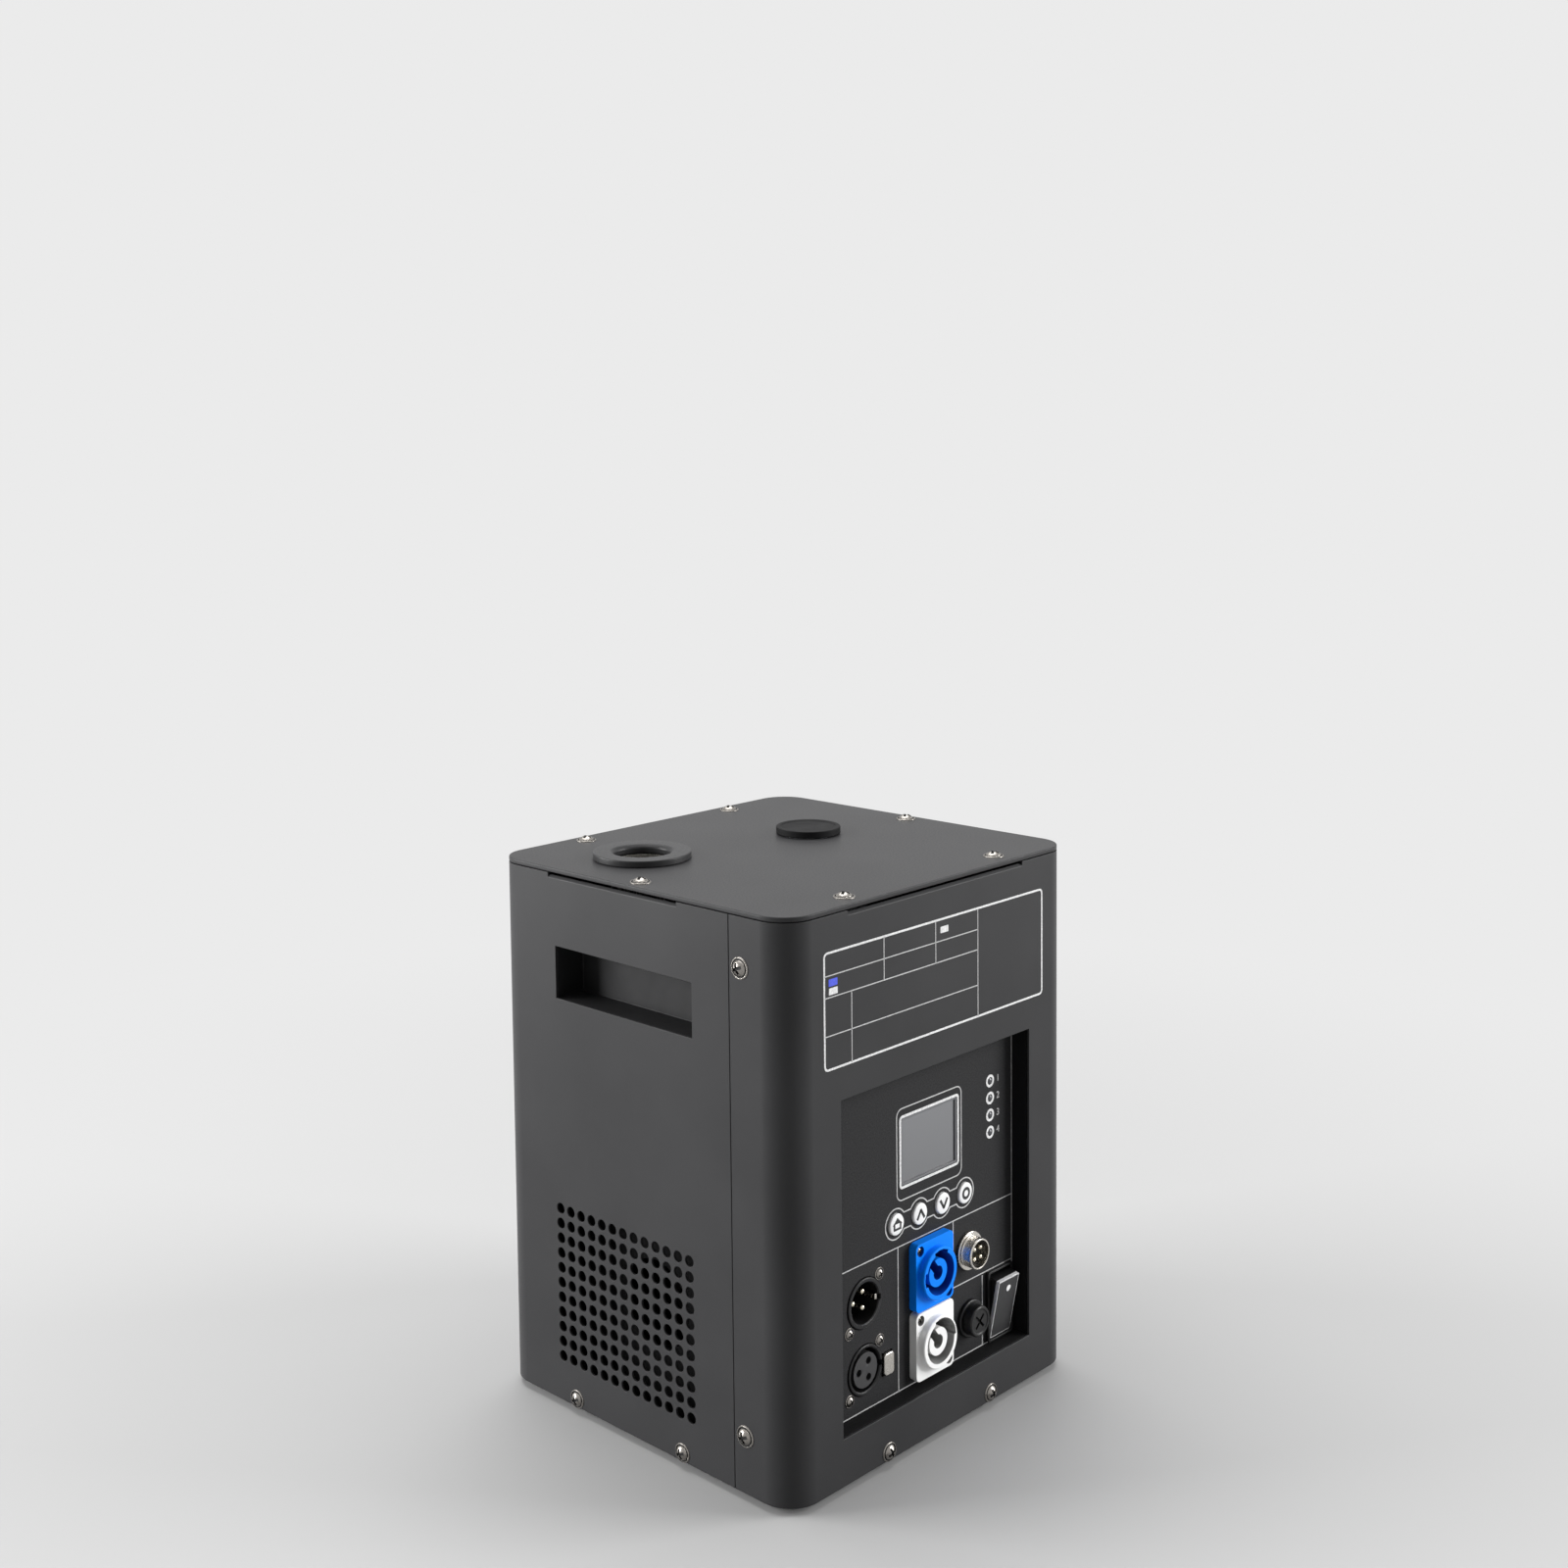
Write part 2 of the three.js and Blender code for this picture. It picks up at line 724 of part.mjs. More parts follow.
function sideShell() {
  const length = caseDepth / 2 - seamY - fitGap;
  const wall = bentWall(caseWidth, length, 0, wallTop).translate(0, seamY + fitGap, 0);
  const rearLength = 2 * (lidScrewRearHalf + tabScrewMargin);
  const places = [
    [rearLength, 'rear', 0, caseDepth / 2],
    [sideTabLength, 'right', sideTabCentre, caseWidth / 2],
    [sideTabLength, 'left', -sideTabCentre, caseWidth / 2],
  ];
  const tabs = places.map(([size, ...place]) => onWall(tab(size), ...place));
  const grooves = places.map(([size, ...place]) => onWall(tabGroove(size), ...place));
  const strips = [joggledStrip(), joggledStrip().scale(-1, 1, 1)];
  const slots = box(
    [-caseWidth / 2 - overrun, caseWidth / 2 + overrun],
    slotY,
    [slotCentreZ - slotHeight / 2, slotCentreZ + slotHeight / 2],
  );
  const edgeScrewYs = [seamY + edgeScrewSeamInset, caseDepth / 2 - edgeScrewRearInset];
  const sideScrews = edgeScrewYs.flatMap((y) => [
    edgeScrew('right', y, caseWidth / 2),
    edgeScrew('left', -y, caseWidth / 2),
  ]);
  const body = join(wall, ...tabs, ...strips, ...sideScrews, ...edgeScrewPair('rear'));
  const screwHoles = [...lidScrewHoles(), ...coverScrewHoles()];
  const shape = cut(body, ...grooves, slots, ...screwHoles, ...ventHoles());
  return piece('side_shell', shape, blackPaint);
}

function lid() {
  const blank = plate(roundedRectangle(caseWidth, caseDepth, cornerRadius), lidUnderside, caseHeight);
  const [low, high] = [lidUnderside - overrun, caseHeight + overrun];
  const nozzleHole = rod(collarSpigotRadius + fitGap, low, high, fineSides).translate(nozzleX, nozzleY, 0);
  const fillHole = rod(neckRadius + fitGap, low, high).translate(hopperX, hopperY, 0);
  return piece('top_plate', cut(blank, nozzleHole, fillHole, ...lidScrewHoles()), blackPaint);
}

function baseTray() {
  const inset = sheet + fitGap;
  const [width, depth] = [caseWidth - 2 * inset, caseDepth - 2 * inset];
  const radius = cornerRadius - inset;
  const blank = plate(roundedRectangle(width, depth, radius), 0, baseFlangeHeight);
  const hollow = plate(
    roundedRectangle(width - 2 * sheet, depth - 2 * sheet, radius - sheet),
    baseThickness,
    baseFlangeHeight + overrun,
  );
  const holes = footPlaces.map(([x, y]) => (
    rod(footStemRadius + fitGap, -overrun, baseThickness + overrun, smallSides).translate(x, y, 0)
  ));
  return piece('base_plate', cut(blank, hollow, ...holes), blackPaint);
}

const footPlaces = [[-1, -1], [1, -1], [-1, 1], [1, 1]].map(([x, y]) => [
  x * (caseWidth / 2 - footInsetX),
  y * (caseDepth / 2 - footInsetY),
]);

function foot(number, [x, y]) {
  const shape = turned([
    [0, footRecessDepth - footHeight],
    [footRecessRadius, footRecessDepth - footHeight],
    [footRecessRadius, -footHeight],
    [footBottomRadius, -footHeight],
    [footTopRadius, 0],
    [footStemRadius, 0],
    [footStemRadius, footStemLength],
    [0, footStemLength],
  ], smallSides);
  const mesh = piece(`foot_${number}`, shape, rubber);
  mesh.position.set(x, y, 0);
  return mesh;
}

// Pan head screw, its head standing on z = 0
function panScrew(name) {
  const shape = turned([
    ...headDome(),
    [screwHeadRadius, 0],
    [screwShankRadius, 0],
    [screwShankRadius, -screwShankLength],
    [0, -screwShankLength],
  ], pinSides);
  return piece(name, shape, nickel);
}

function lidScrews() {
  return lidScrewPlaces.map(([x, y], i) => {
    const screw = panScrew(`lid_screw_${i + 1}`);
    screw.position.set(x, y, caseHeight);
    return screw;
  });
}

function coverScrews() {
  const places = [
    ['left_upper', -1, caseHeight - coverScrewTopInset],
    ['left_lower', -1, coverScrewLowerZ],
    ['right_upper', 1, caseHeight - coverScrewTopInset],
    ['right_lower', 1, coverScrewLowerZ],
  ];
  return places.map(([name, side, z]) => {
    const screw = panScrew(`cover_screw_${name}`);
    screw.position.set(side * (caseWidth / 2 + fitGap / 2), seamY - coverScrewInset, z);
    screw.rotation.y = side * Math.PI / 2;
    return screw;
  });
}

// Cup behind a carrying slot; local z points out of the case
function slotCup(name, side) {
  const [height, length] = [slotHeight + cupMargin, slotY[1] - slotY[0] + cupMargin];
  const outside = centredBox(height + 2 * cupWall, length + 2 * cupWall, -cupDepth - cupWall, 0);
  const flange = centredBox(height + 2 * cupFlange, length + 2 * cupFlange, -cupWall, 0);
  const inside = centredBox(height, length, -cupDepth, overrun);
  const mesh = piece(name, cut(join(outside, flange), inside), blackPlastic);
  mesh.position.set(side * (wallInnerX - fitGap), (slotY[0] + slotY[1]) / 2, slotCentreZ);
  mesh.rotation.y = side * Math.PI / 2;
  return mesh;
}

// Nozzle collar, spark tube, heater and the adapter under them, about the nozzle's axis
function nozzleCollar() {
  const top = caseHeight + collarHeight;
  const shape = turned([
    [nozzleBoreRadius, top - collarBevel],
    [nozzleBoreRadius + collarBevel, top],
    [collarRadius - collarRound, top],
    [collarRadius, top - collarRound],
    [collarRadius, caseHeight],
    [collarSpigotRadius, caseHeight],
    [collarSpigotRadius, caseHeight - collarSpigotLength],
    [tubeRadius + fitGap, caseHeight - collarSpigotLength],
    [tubeRadius + fitGap, caseHeight - collarLip],
    [nozzleBoreRadius, caseHeight - collarLip],
    [nozzleBoreRadius, top - collarBevel],
  ], fineSides);
  return piece('nozzle_collar', shape, blackPaint);
}

function sparkTube() {
  const wall = ring(nozzleBoreRadius, tubeRadius, deckTop + adapterFloor + fitGap, tubeTop);
  const inlet = rod(feedTubeRadius + fitGap, 0, tubeRadius + overrun);
  inlet.rotateY(Math.PI / 2).rotateZ(feedAngle + Math.PI).translate(0, 0, augerZ);
  return piece('spark_tube', cut(wall, inlet), stainless);
}

function heaterBand() {
  const bottom = augerZ + heaterRise;
  const inner = tubeRadius + fitGap;
  const rib = heaterLength / heaterRibs;
  const outline = [[inner, bottom]];
  for (let i = 0; i < heaterRibs; i += 1) {
    const z = bottom + i * rib;
    outline.push([heaterRadius - heaterRibDepth, z]);
    outline.push([heaterRadius, z + rib / 4]);
    outline.push([heaterRadius, z + rib * 3 / 4]);
  }
  outline.push([heaterRadius - heaterRibDepth, bottom + heaterLength]);
  outline.push([inner, bottom + heaterLength]);
  outline.push(outline[0]);
  const terminal = box(
    [-heaterTerminalWidth / 2, heaterTerminalWidth / 2],
    [heaterRadius - heaterRibDepth - overlap, heaterRadius + heaterTerminalDepth],
    [bottom + rib, bottom + rib + heaterTerminalHeight],
  );
  return piece('heater_band', join(turned(outline), terminal), ceramic);
}

function airAdapter() {
  const bore = rod(nozzleBoreRadius, deckTop - overrun, deckTop + adapterHeight + overrun);
  const flange = rod(adapterFlangeRadius, deckTop, deckTop + adapterFlangeHeight);
  const socketRadius = tubeRadius + fitGap;
  const socketWall = rod(socketRadius + adapterWall, deckTop, deckTop + adapterHeight);
  const socket = rod(socketRadius, deckTop + adapterFloor, deckTop + adapterHeight + overrun);
  return piece('air_adapter', cut(join(flange, socketWall), bore, socket), aluminium);
}

// Hopper's funnel, its spigot in the feeder; the vessel above is welded to its rim
function hopperFunnel() {
  const spigotBottom = augerZ + feederTop - hopperSpigotDepth + fitGap;
  const inner = hopperWall;
  const shape = turned([
    [hopperSpigotRadius, spigotBottom],
    [hopperSpigotRadius, funnelBottom],
    [hopperRadius, funnelTop],
    [hopperRadius - inner, funnelTop],
    [hopperSpigotRadius - inner, funnelBottom],
    [hopperSpigotRadius - inner, spigotBottom],
    [hopperSpigotRadius, spigotBottom],
  ]);
  return piece('hopper_funnel', shape, steel);
}

// Hopper's vessel, its neck through the lid, and the cap in that neck
function hopperVessel() {
  const bottom = funnelTop + fitGap;
  const neckBottom = caseHeight - neckLength;
  const shoulder = neckBottom - hopperShoulder;
  const flangeTop = lidUnderside - fitGap;
  const inner = hopperWall;
  const shape = turned([
    [hopperRadius, bottom],
    [hopperRadius, shoulder],
    [neckRadius, neckBottom],
    [neckRadius, flangeTop - neckFlangeHeight],
    [neckFlangeRadius, flangeTop - neckFlangeHeight],
    [neckFlangeRadius, flangeTop],
    [neckRadius, flangeTop],
    [neckRadius, caseHeight],
    [neckRadius - inner, caseHeight],
    [neckRadius - inner, neckBottom],
    [hopperRadius - inner, shoulder],
    [hopperRadius - inner, bottom],
    [hopperRadius, bottom],
  ]);
  return piece('hopper', shape, steel);
}

function fillCap() {
  const under = caseHeight + fitGap;
  const top = under + capHeight;
  const plug = neckRadius - hopperWall - fitGap;
  const bottom = caseHeight - capPlugLength;
  const groove = caseHeight - capGrooveDrop;
  const shape = turned([
    [0, bottom],
    [plug, bottom],
    [plug, groove - capGrooveWidth],
    [plug - capGrooveDepth, groove - capGrooveWidth],
    [plug - capGrooveDepth, groove],
    [plug, groove],
    [plug, under],
    [capRadius, under],
    [capRadius, top - capRound],
    [capRadius - capRound, top],
    [capRadius - capRim, top],
    [capRadius - capRim - capDish, top - capDish],
    [0, top - capDish],
  ]);
  return piece('fill_cap', shape, blackPlastic);
}

// Feeder, modelled about the auger's axis with local x running from the hopper to the nozzle
function alongX(geometry) {
  return geometry.rotateY(Math.PI / 2);
}

function feederBlock() {
  const bottom = deckTop + fitGap - augerZ;
  const blank = box(
    [-feederHalfLength, feederHalfLength],
    [-feederHalfWidth, feederHalfWidth],
    [bottom, feederTop],
  );
  const bore = alongX(rod(augerBore, -feederHalfLength - overrun, feederHalfLength + overrun));
  const socketStart = feederHalfLength - feedTubeSocket;
  const tubeSocket = alongX(rod(feedTubeRadius + fitGap, socketStart, feederHalfLength + overrun));
  const drop = rod(hopperSpigotRadius - hopperWall - fitGap, 0, feederTop + overrun);
  const socket = rod(hopperSpigotRadius + fitGap, feederTop - hopperSpigotDepth, feederTop + overrun);
  return piece('feeder_block', cut(blank, bore, tubeSocket, drop, socket), aluminium);
}

function feedTube() {
  const start = feederHalfLength - feedTubeSocket + fitGap;
  const end = feedSpan - nozzleBoreRadius - feedTubeEntry;
  return piece('feed_tube', alongX(ring(augerBore, feedTubeRadius, start, end)), stainless);
}

// Screw of the feeder: a section with one blade, turned steadily along its length
function feedAuger() {
  const start = augerHubLength - feederHalfLength;
  const end = feedSpan - nozzleBoreRadius - feedTubeEntry - augerEndClearance;
  const turns = (end - start) / augerPitch;
  const section = new THREE.Shape();
  const bladeHalf = flightWidthShare * Math.PI;
  section.moveTo(augerRadius * Math.cos(bladeHalf), augerRadius * Math.sin(bladeHalf));
  section.absarc(0, 0, augerShaftRadius, Math.PI / 2, Math.PI * 1.5, false);
  section.lineTo(augerRadius * Math.cos(-bladeHalf), augerRadius * Math.sin(-bladeHalf));
  section.lineTo(augerRadius, 0);
  const steps = Math.ceil(turns * augerStepsPerTurn);
  const settings = { depth: end - start, steps, bevelEnabled: false, curveSegments: augerSectionSteps };
  const flight = new THREE.ExtrudeGeometry(section, settings);
  const points = flight.attributes.position;
  for (let i = 0; i < points.count; i += 1) {
    const angle = points.getZ(i) / augerPitch * 2 * Math.PI;
    const [x, y] = [points.getX(i), points.getY(i)];
    points.setXY(i, x * Math.cos(angle) - y * Math.sin(angle), x * Math.sin(angle) + y * Math.cos(angle));
  }
  flight.translate(0, 0, start);
  const hub = rod(augerHubRadius, -feederHalfLength + fitGap, start + overlap, smallSides);
  const shaft = rod(motorShaftRadius, -feederHalfLength - motorShaftReach, start, pinSides);
  return piece('feed_auger', alongX(join(flight, hub, shaft)), steel);
}

function feedMotor() {
  const face = -feederHalfLength - fitGap;
  const gearboxEnd = face - motorGearboxLength;
  const canEnd = gearboxEnd - motorCanLength;
  const body = turned([
    [0, canEnd],
    [motorCanRadius - motorCanBevel, canEnd],
    [motorCanRadius, canEnd + motorCanBevel],
    [motorCanRadius, gearboxEnd],
    [motorRadius, gearboxEnd],
    [motorRadius, face],
    [0, face],
  ]);
  const bore = rod(motorShaftRadius + fitGap, face - motorBoreDepth, face + overrun, pinSides);
  return piece('feed_motor', alongX(cut(body, bore)), steel);
}

// Inner frame: deck, legs, and the holes that the air passes
function innerFrame() {
  const y = [frameFront, frameRear];
  const deck = box([frameLeft, frameRight], y, [deckUnderside, deckTop]);
  const legs = [
    box([frameLeft, frameLeft + frameSheet], y, [baseThickness, deckTop]),
    box([frameRight - frameSheet, frameRight], y, [baseThickness, deckTop]),
  ];
  const airHole = rod(nozzleBoreRadius, deckUnderside - overrun, deckTop + overrun);
  airHole.translate(nozzleX, nozzleY, 0);
  const inlet = alongX(rod(blowerInletRadius, -overrun, frameSheet + overrun));
  inlet.translate(frameLeft, blowerY, blowerZ);
  const fanHole = alongX(rod(fanBoreRadius - frameLegHoleMargin, -frameSheet - overrun, overrun));
  fanHole.translate(frameRight, fanCentreY, fanCentreZ);
  return piece('inner_frame', cut(join(deck, ...legs), airHole, inlet, fanHole), steel);
}

// Blower, modelled about its wheel's axis: local z to the left wall, local x up, local y to the rear
function scrollShape(inset) {
  const shape = new THREE.Shape();
  const [outer, inner] = [scrollOuterRadius - inset, scrollInnerRadius - inset];
  const reach = ductReach + (inset > 0 ? overrun : 0);
  shape.moveTo(reach, scrollOuterRadius - ductWidth + inset);
  shape.lineTo(reach, outer);
  for (let i = 0; i <= scrollSteps; i += 1) {
    const share = i / scrollSteps;
    const angle = share * Math.PI * 1.5;
    const radius = outer + (inner - outer) * share;
    shape.lineTo(-radius * Math.sin(angle), radius * Math.cos(angle));
  }
  shape.lineTo(inner, scrollOuterRadius - ductWidth + inset);
  return shape;
}

function blowerHousing() {
  const half = blowerHalfThickness;
  const shell = plate(scrollShape(0), -half, half);
  const hollow = plate(scrollShape(blowerWall), blowerWall - half, half - blowerWall);
  const inlet = rod(blowerInletRadius, half - blowerWall - overrun, half + overrun);
  const boss = rod(wheelHubRadius, blowerWall - half - overlap, wheelBackClearance - half, smallSides);
  const pin = rod(spindleRadius, wheelBackClearance - half - overlap, 0, pinSides);
  return piece('blower_housing', join(cut(shell, hollow, inlet), boss, pin), blackPlastic);
}

function blowerWheel() {
  const back = wheelBackClearance + fitGap - blowerHalfThickness;
  const front = blowerHalfThickness - wheelFrontClearance;
  const inner = wheelRadius - wheelBladeDepth;
  const disc = rod(wheelRadius, back, back + wheelDisc, fineSides);
  const rim = ring(inner, wheelRadius, front - wheelDisc, front, fineSides);
  const hub = rod(wheelHubRadius, back, wheelHubReach, smallSides);
  const blades = Array.from({ length: wheelBlades }, (_, i) => {
    const blade = box(
      [-wheelBladeDepth / 2, wheelBladeDepth / 2],
      [-wheelBladeThickness / 2, wheelBladeThickness / 2],
      [back + wheelDisc - overlap, front - wheelDisc + overlap],
    );
    blade.rotateZ(THREE.MathUtils.degToRad(wheelBladeAngle));
    blade.translate(wheelRadius - wheelBladeDepth / 2, 0, 0);
    return blade.rotateZ(i / wheelBlades * 2 * Math.PI);
  });
  const bore = rod(spindleRadius + fitGap, back - overrun, wheelHubReach + overrun, pinSides);
  return piece('blower_wheel', cut(join(disc, rim, hub, ...blades), bore), blackPlastic);
}

function blower() {
  const group = assembly([nozzleX, blowerY, blowerZ], blowerHousing(), blowerWheel());
  group.rotation.y = -Math.PI / 2;
  return group;
}

// Cooling fan, modelled about its axis with local z pointing out of the case
function fanFrame() {
  const half = fanThickness / 2;
  const blank = plate(roundedRectangle(fanSize, fanSize, fanCornerRadius), -half, half);
  const bore = rod(fanBoreRadius, -half - overrun, half + overrun, fineSides);
  const screwAt = fanSize / 2 - fanScrewInset;
  const screwHoles = [[-1, -1], [1, -1], [-1, 1], [1, 1]].map(([x, y]) => (
    rod(fanScrewRadius, -half - overrun, half + overrun, pinSides).translate(x * screwAt, y * screwAt, 0)
  ));
  const struts = [0, 1].map((i) => (
    centredBox(2 * fanBoreRadius + overlap, fanStrutWidth, -half, fanStrutDepth - half)
      .rotateZ(i * Math.PI / 2)
  ));
  const motorSeat = rod(fanHubRadius, -half, fanStrutDepth - half);
  const pin = rod(spindleRadius, -half, half - fanStrutDepth * 2, pinSides);
  const shape = join(cut(blank, bore, ...screwHoles), ...struts, motorSeat, pin);
  return piece('cooling_fan_frame', shape, blackPlastic);
}

function fanRotor() {
  const back = fanStrutDepth + fitGap - fanThickness / 2;
  const front = fanThickness / 2 - rotorFrontClearance;
  const hub = rod(fanHubRadius, back, front);
  const reach = fanBoreRadius - fanTipGap;
  const blades = Array.from({ length: fanBlades }, (_, i) => {
    const blade = box(
      [fanHubRadius - 2 * overlap, reach],
      [-fanBladeChord / 2, fanBladeChord / 2],
      [-fanBladeThickness / 2, fanBladeThickness / 2],
    );
    blade.rotateX(THREE.MathUtils.degToRad(fanBladeAngle));
    return blade.translate(0, 0, (back + front) / 2).rotateZ(i / fanBlades * 2 * Math.PI);
  });
  const limit = rod(reach, back, front, fineSides);
  const bladed = geometryOf(solidOf(join(hub, ...blades)).intersect(solidOf(limit)));
  const bore = rod(spindleRadius + fitGap, back - overrun, front - rotorBoreRoof, pinSides);
  return piece('cooling_fan_rotor', cut(bladed, bore), blackPlastic);
}

function coolingFan() {
  const group = assembly([fanCentreX, fanCentreY, fanCentreZ], fanFrame(), fanRotor());
  group.rotation.y = Math.PI / 2;
  return group;
}

// Power supply against the right leg of the inner frame
function powerSupply() {
  const right = frameRight - frameSheet - fitGap;
  const left = nozzleX + blowerHalfThickness + supplyBlowerGap;
  const [front, rear] = [frameFront + supplyFrontMargin, caseDepth / 2 - supplyRearInset];
  const bottom = baseThickness + fitGap;
  const blank = box([left, right], [front, rear], [bottom, bottom + supplyHeight]);
  const ledgeTop = bottom + supplyHeight - supplyLedgeHeight;
  const ledge = box(
    [left - overrun, right + overrun],
    [front - overrun, front + supplyLedgeDepth],
    [ledgeTop, bottom + supplyHeight + overrun],
  );
  const terminals = Array.from({ length: terminalCount }, (_, i) => {
    const x = (left + right) / 2 + (i - (terminalCount - 1) / 2) * (terminalWidth + terminalWall);
    return box(
      [x - terminalWidth / 2, x + terminalWidth / 2],
      [front + terminalWall, front + supplyLedgeDepth + overlap],
      [ledgeTop - overlap, ledgeTop + terminalHeight],
    );
  });
  const slotPitch = (right - left - 2 * supplySlotMargin) / (supplySlots - 1);
  const slots = Array.from({ length: supplySlots }, (_, i) => {
    const x = left + supplySlotMargin + i * slotPitch;
    return box(
      [x - supplySlotWidth / 2, x + supplySlotWidth / 2],
      [front + supplyLedgeDepth + supplySlotMargin, rear - supplySlotMargin],
      [bottom + supplyHeight - supplySlotDepth, bottom + supplyHeight + overrun],
    );
  });
  return piece('power_supply', cut(join(cut(blank, ledge), ...terminals), ...slots), aluminium);
}

// Control board: local z points into the case from the rear wall, local x to the left
function controlBoard() {
  const face = boardStandoff + boardThickness;
  const board = centredBox(boardWidth, boardHeight, boardStandoff, face);
  const [halfX, halfY] = [boardWidth / 2 - standoffInset, boardHeight / 2 - standoffInset];
  const posts = [[-1, -1], [1, -1], [-1, 1], [1, 1]].map(([x, y]) => (
    rod(standoffRadius, 0, boardStandoff + overlap, pinSides).translate(x * halfX, y * halfY, 0)
  ));
  const seat = face - overlap;
  const sinkX = -halfX + heatSinkWidth / 2;
  const sinkY = halfY - standoffInset - heatSinkHeight / 2;
  const finRoot = face + heatSinkFloor;
  const sinkFloor = centredBox(heatSinkWidth, heatSinkHeight, seat, finRoot).translate(sinkX, sinkY, 0);
  const finPitch = (heatSinkWidth - heatSinkFinThickness) / (heatSinkFins - 1);
  const fins = Array.from({ length: heatSinkFins }, (_, i) => (
    centredBox(heatSinkFinThickness, heatSinkHeight, finRoot - overlap, face + heatSinkDepth)
      .translate(sinkX + (i - (heatSinkFins - 1) / 2) * finPitch, sinkY, 0)
  ));
  const relays = [0, 1].map((i) => (
    centredBox(relayWidth, relayHeight, seat, face + relayDepth)
      .translate(standoffInset + i * (relayWidth + standoffInset), sinkY, 0)
  ));
  const capacitors = [0, 1, 2].map((i) => (
    rod(capacitorRadius, seat, face + capacitorDepth, smallSides)
      .translate(sinkX + i * (2 * capacitorRadius + standoffInset / 2), -standoffInset, 0)
  ));
  const header = centredBox(2 * halfX - 2 * standoffInset, headerHeight, seat, face + headerDepth)
    .translate(0, -halfY, 0);
  const shape = join(board, ...posts, sinkFloor, ...fins, ...relays, ...capacitors, header);
  const mesh = piece('control_board', shape, circuitBoard);
  const centreX = caseWidth / 2 - boardSideInset - boardWidth / 2;
  mesh.position.set(centreX, wallInnerRearY - fitGap, boardBottomZ + boardHeight / 2);
  mesh.rotation.x = Math.PI / 2;
  return mesh;
}

// Control panel, modelled with local x to the right, local y up and local z out of the case
const buttonPlaces = buttonNames.map((_, i) => [buttonFirstX + i * buttonPitch, buttonZ]);
const lampPlaces = Array.from({ length: lampCount }, (_, i) => [lampX, lampTopZ - i * lampPitch]);

function panelHole(radius, [x, y], sides = roundSides) {
  return rod(radius, -sheet - overrun, overrun, sides).translate(x, y, 0);
}

function controlPanel() {
  const [width, height] = [windowWidth + 2 * sheet, windowHeight + 2 * sheet];
  const rim = panelFlangeFront;
  const outside = centredBox(width, height, -sheet, rim);
  const flange = centredBox(width + 2 * panelFlange, height + 2 * panelFlange, rim - sheet, rim);
  const inside = centredBox(windowWidth, windowHeight, 0, rim + overrun);
  const tray = cut(join(outside, flange), inside).translate(0, windowCentreZ, 0);
  const through = [-sheet - overrun, overrun];
  const holes = [
    centredBox(displayWidth, displayHeight, ...through).translate(displayX, displayZ, 0),
    ...buttonPlaces.map((place) => panelHole(buttonRadius + fitGap, place, smallSides)),
    ...lampPlaces.map((place) => panelHole(lampRadius + fitGap, place, pinSides)),
    panelHole(dmxShellRadius + fitGap, [dmxX, dmxInZ]),
    panelHole(dmxShellRadius + fitGap, [dmxX, dmxOutZ]),
    centredBox(latchWidth + 2 * fitGap, latchHeight + 2 * fitGap, ...through)
      .translate(dmxX + latchOffset, dmxOutZ - latchDrop, 0),
    panelHole(powerCollarRadius + fitGap, [powerX, powerInZ]),
    panelHole(powerCollarRadius + fitGap, [powerX, powerOutZ]),
    panelHole(remoteThreadRadius + fitGap, [remoteX, remoteZ], smallSides),
    panelHole(fuseBarrelRadius + fitGap, [fuseX, fuseZ], smallSides),
    centredBox(switchBodyWidth + 2 * fitGap, bezelHeight - 2 * switchBodyInset + 2 * fitGap, ...through)
      .translate(switchX, switchZ, 0),
  ];
  return piece('control_panel', cut(tray, ...holes), blackPaint);
}

function displayModule() {
  const [boardFace, bodyFront] = [-sheet - displayBoardGap, -sheet - fitGap];
  const lens = centredBox(
    displayWidth - 2 * fitGap,
    displayHeight - 2 * fitGap,
    bodyFront - overlap,
    -displayRecess,
  );
  const body = centredBox(
    displayWidth + 2 * displayBorder,
    displayHeight + 2 * displayBorder,
    boardFace + fitGap,
    bodyFront,
  );
  return piece('lcd_module', join(lens, body).translate(displayX, displayZ, 0), displayGlass);
}

function displayBoard() {
  const face = -sheet - displayBoardGap;
  const board = centredBox(displayBoardWidth, displayBoardHeight, face - boardThickness, face);
  const halfX = displayBoardWidth / 2 - standoffInset;
  const halfY = displayBoardHeight / 2 - standoffInset;
  const posts = [[-1, -1], [1, -1], [-1, 1], [1, 1]].map(([x, y]) => (
    rod(displayStandoffRadius, face - overlap, -sheet - fitGap, pinSides).translate(x * halfX, y * halfY, 0)
  ));
  const switches = buttonPlaces.flatMap(([x, y]) => [
    centredBox(switchBodySize, switchBodySize, face - overlap, face + switchBodyHeight),
    rod(switchPlungerRadius, face, face + switchBodyHeight + switchPlungerHeight, pinSides),
  ].map((part) => part.translate(x - displayBoardX, y - displayBoardZ, 0)));
  const shape = join(board, ...posts, ...switches).translate(displayBoardX, displayBoardZ, 0);
  return piece('display_board', shape, circuitBoard);
}

function lampBlock() {
  const boardFace = -sheet - displayBoardGap;
  const middle = lampTopZ - (lampCount - 1) * lampPitch / 2;
  const length = (lampCount - 1) * lampPitch + 2 * lampBlockEnd;
  const block = centredBox(lampBlockWidth, length, boardFace + fitGap, -sheet - fitGap);
  block.translate(lampX, middle, 0);
  const lenses = lampPlaces.map(([x, y]) => (
    rod(lampRadius, -sheet - fitGap - overlap, 0, pinSides).translate(x, y, 0)
  ));
  return piece('lamp_block', join(block, ...lenses), lampPlastic);
}

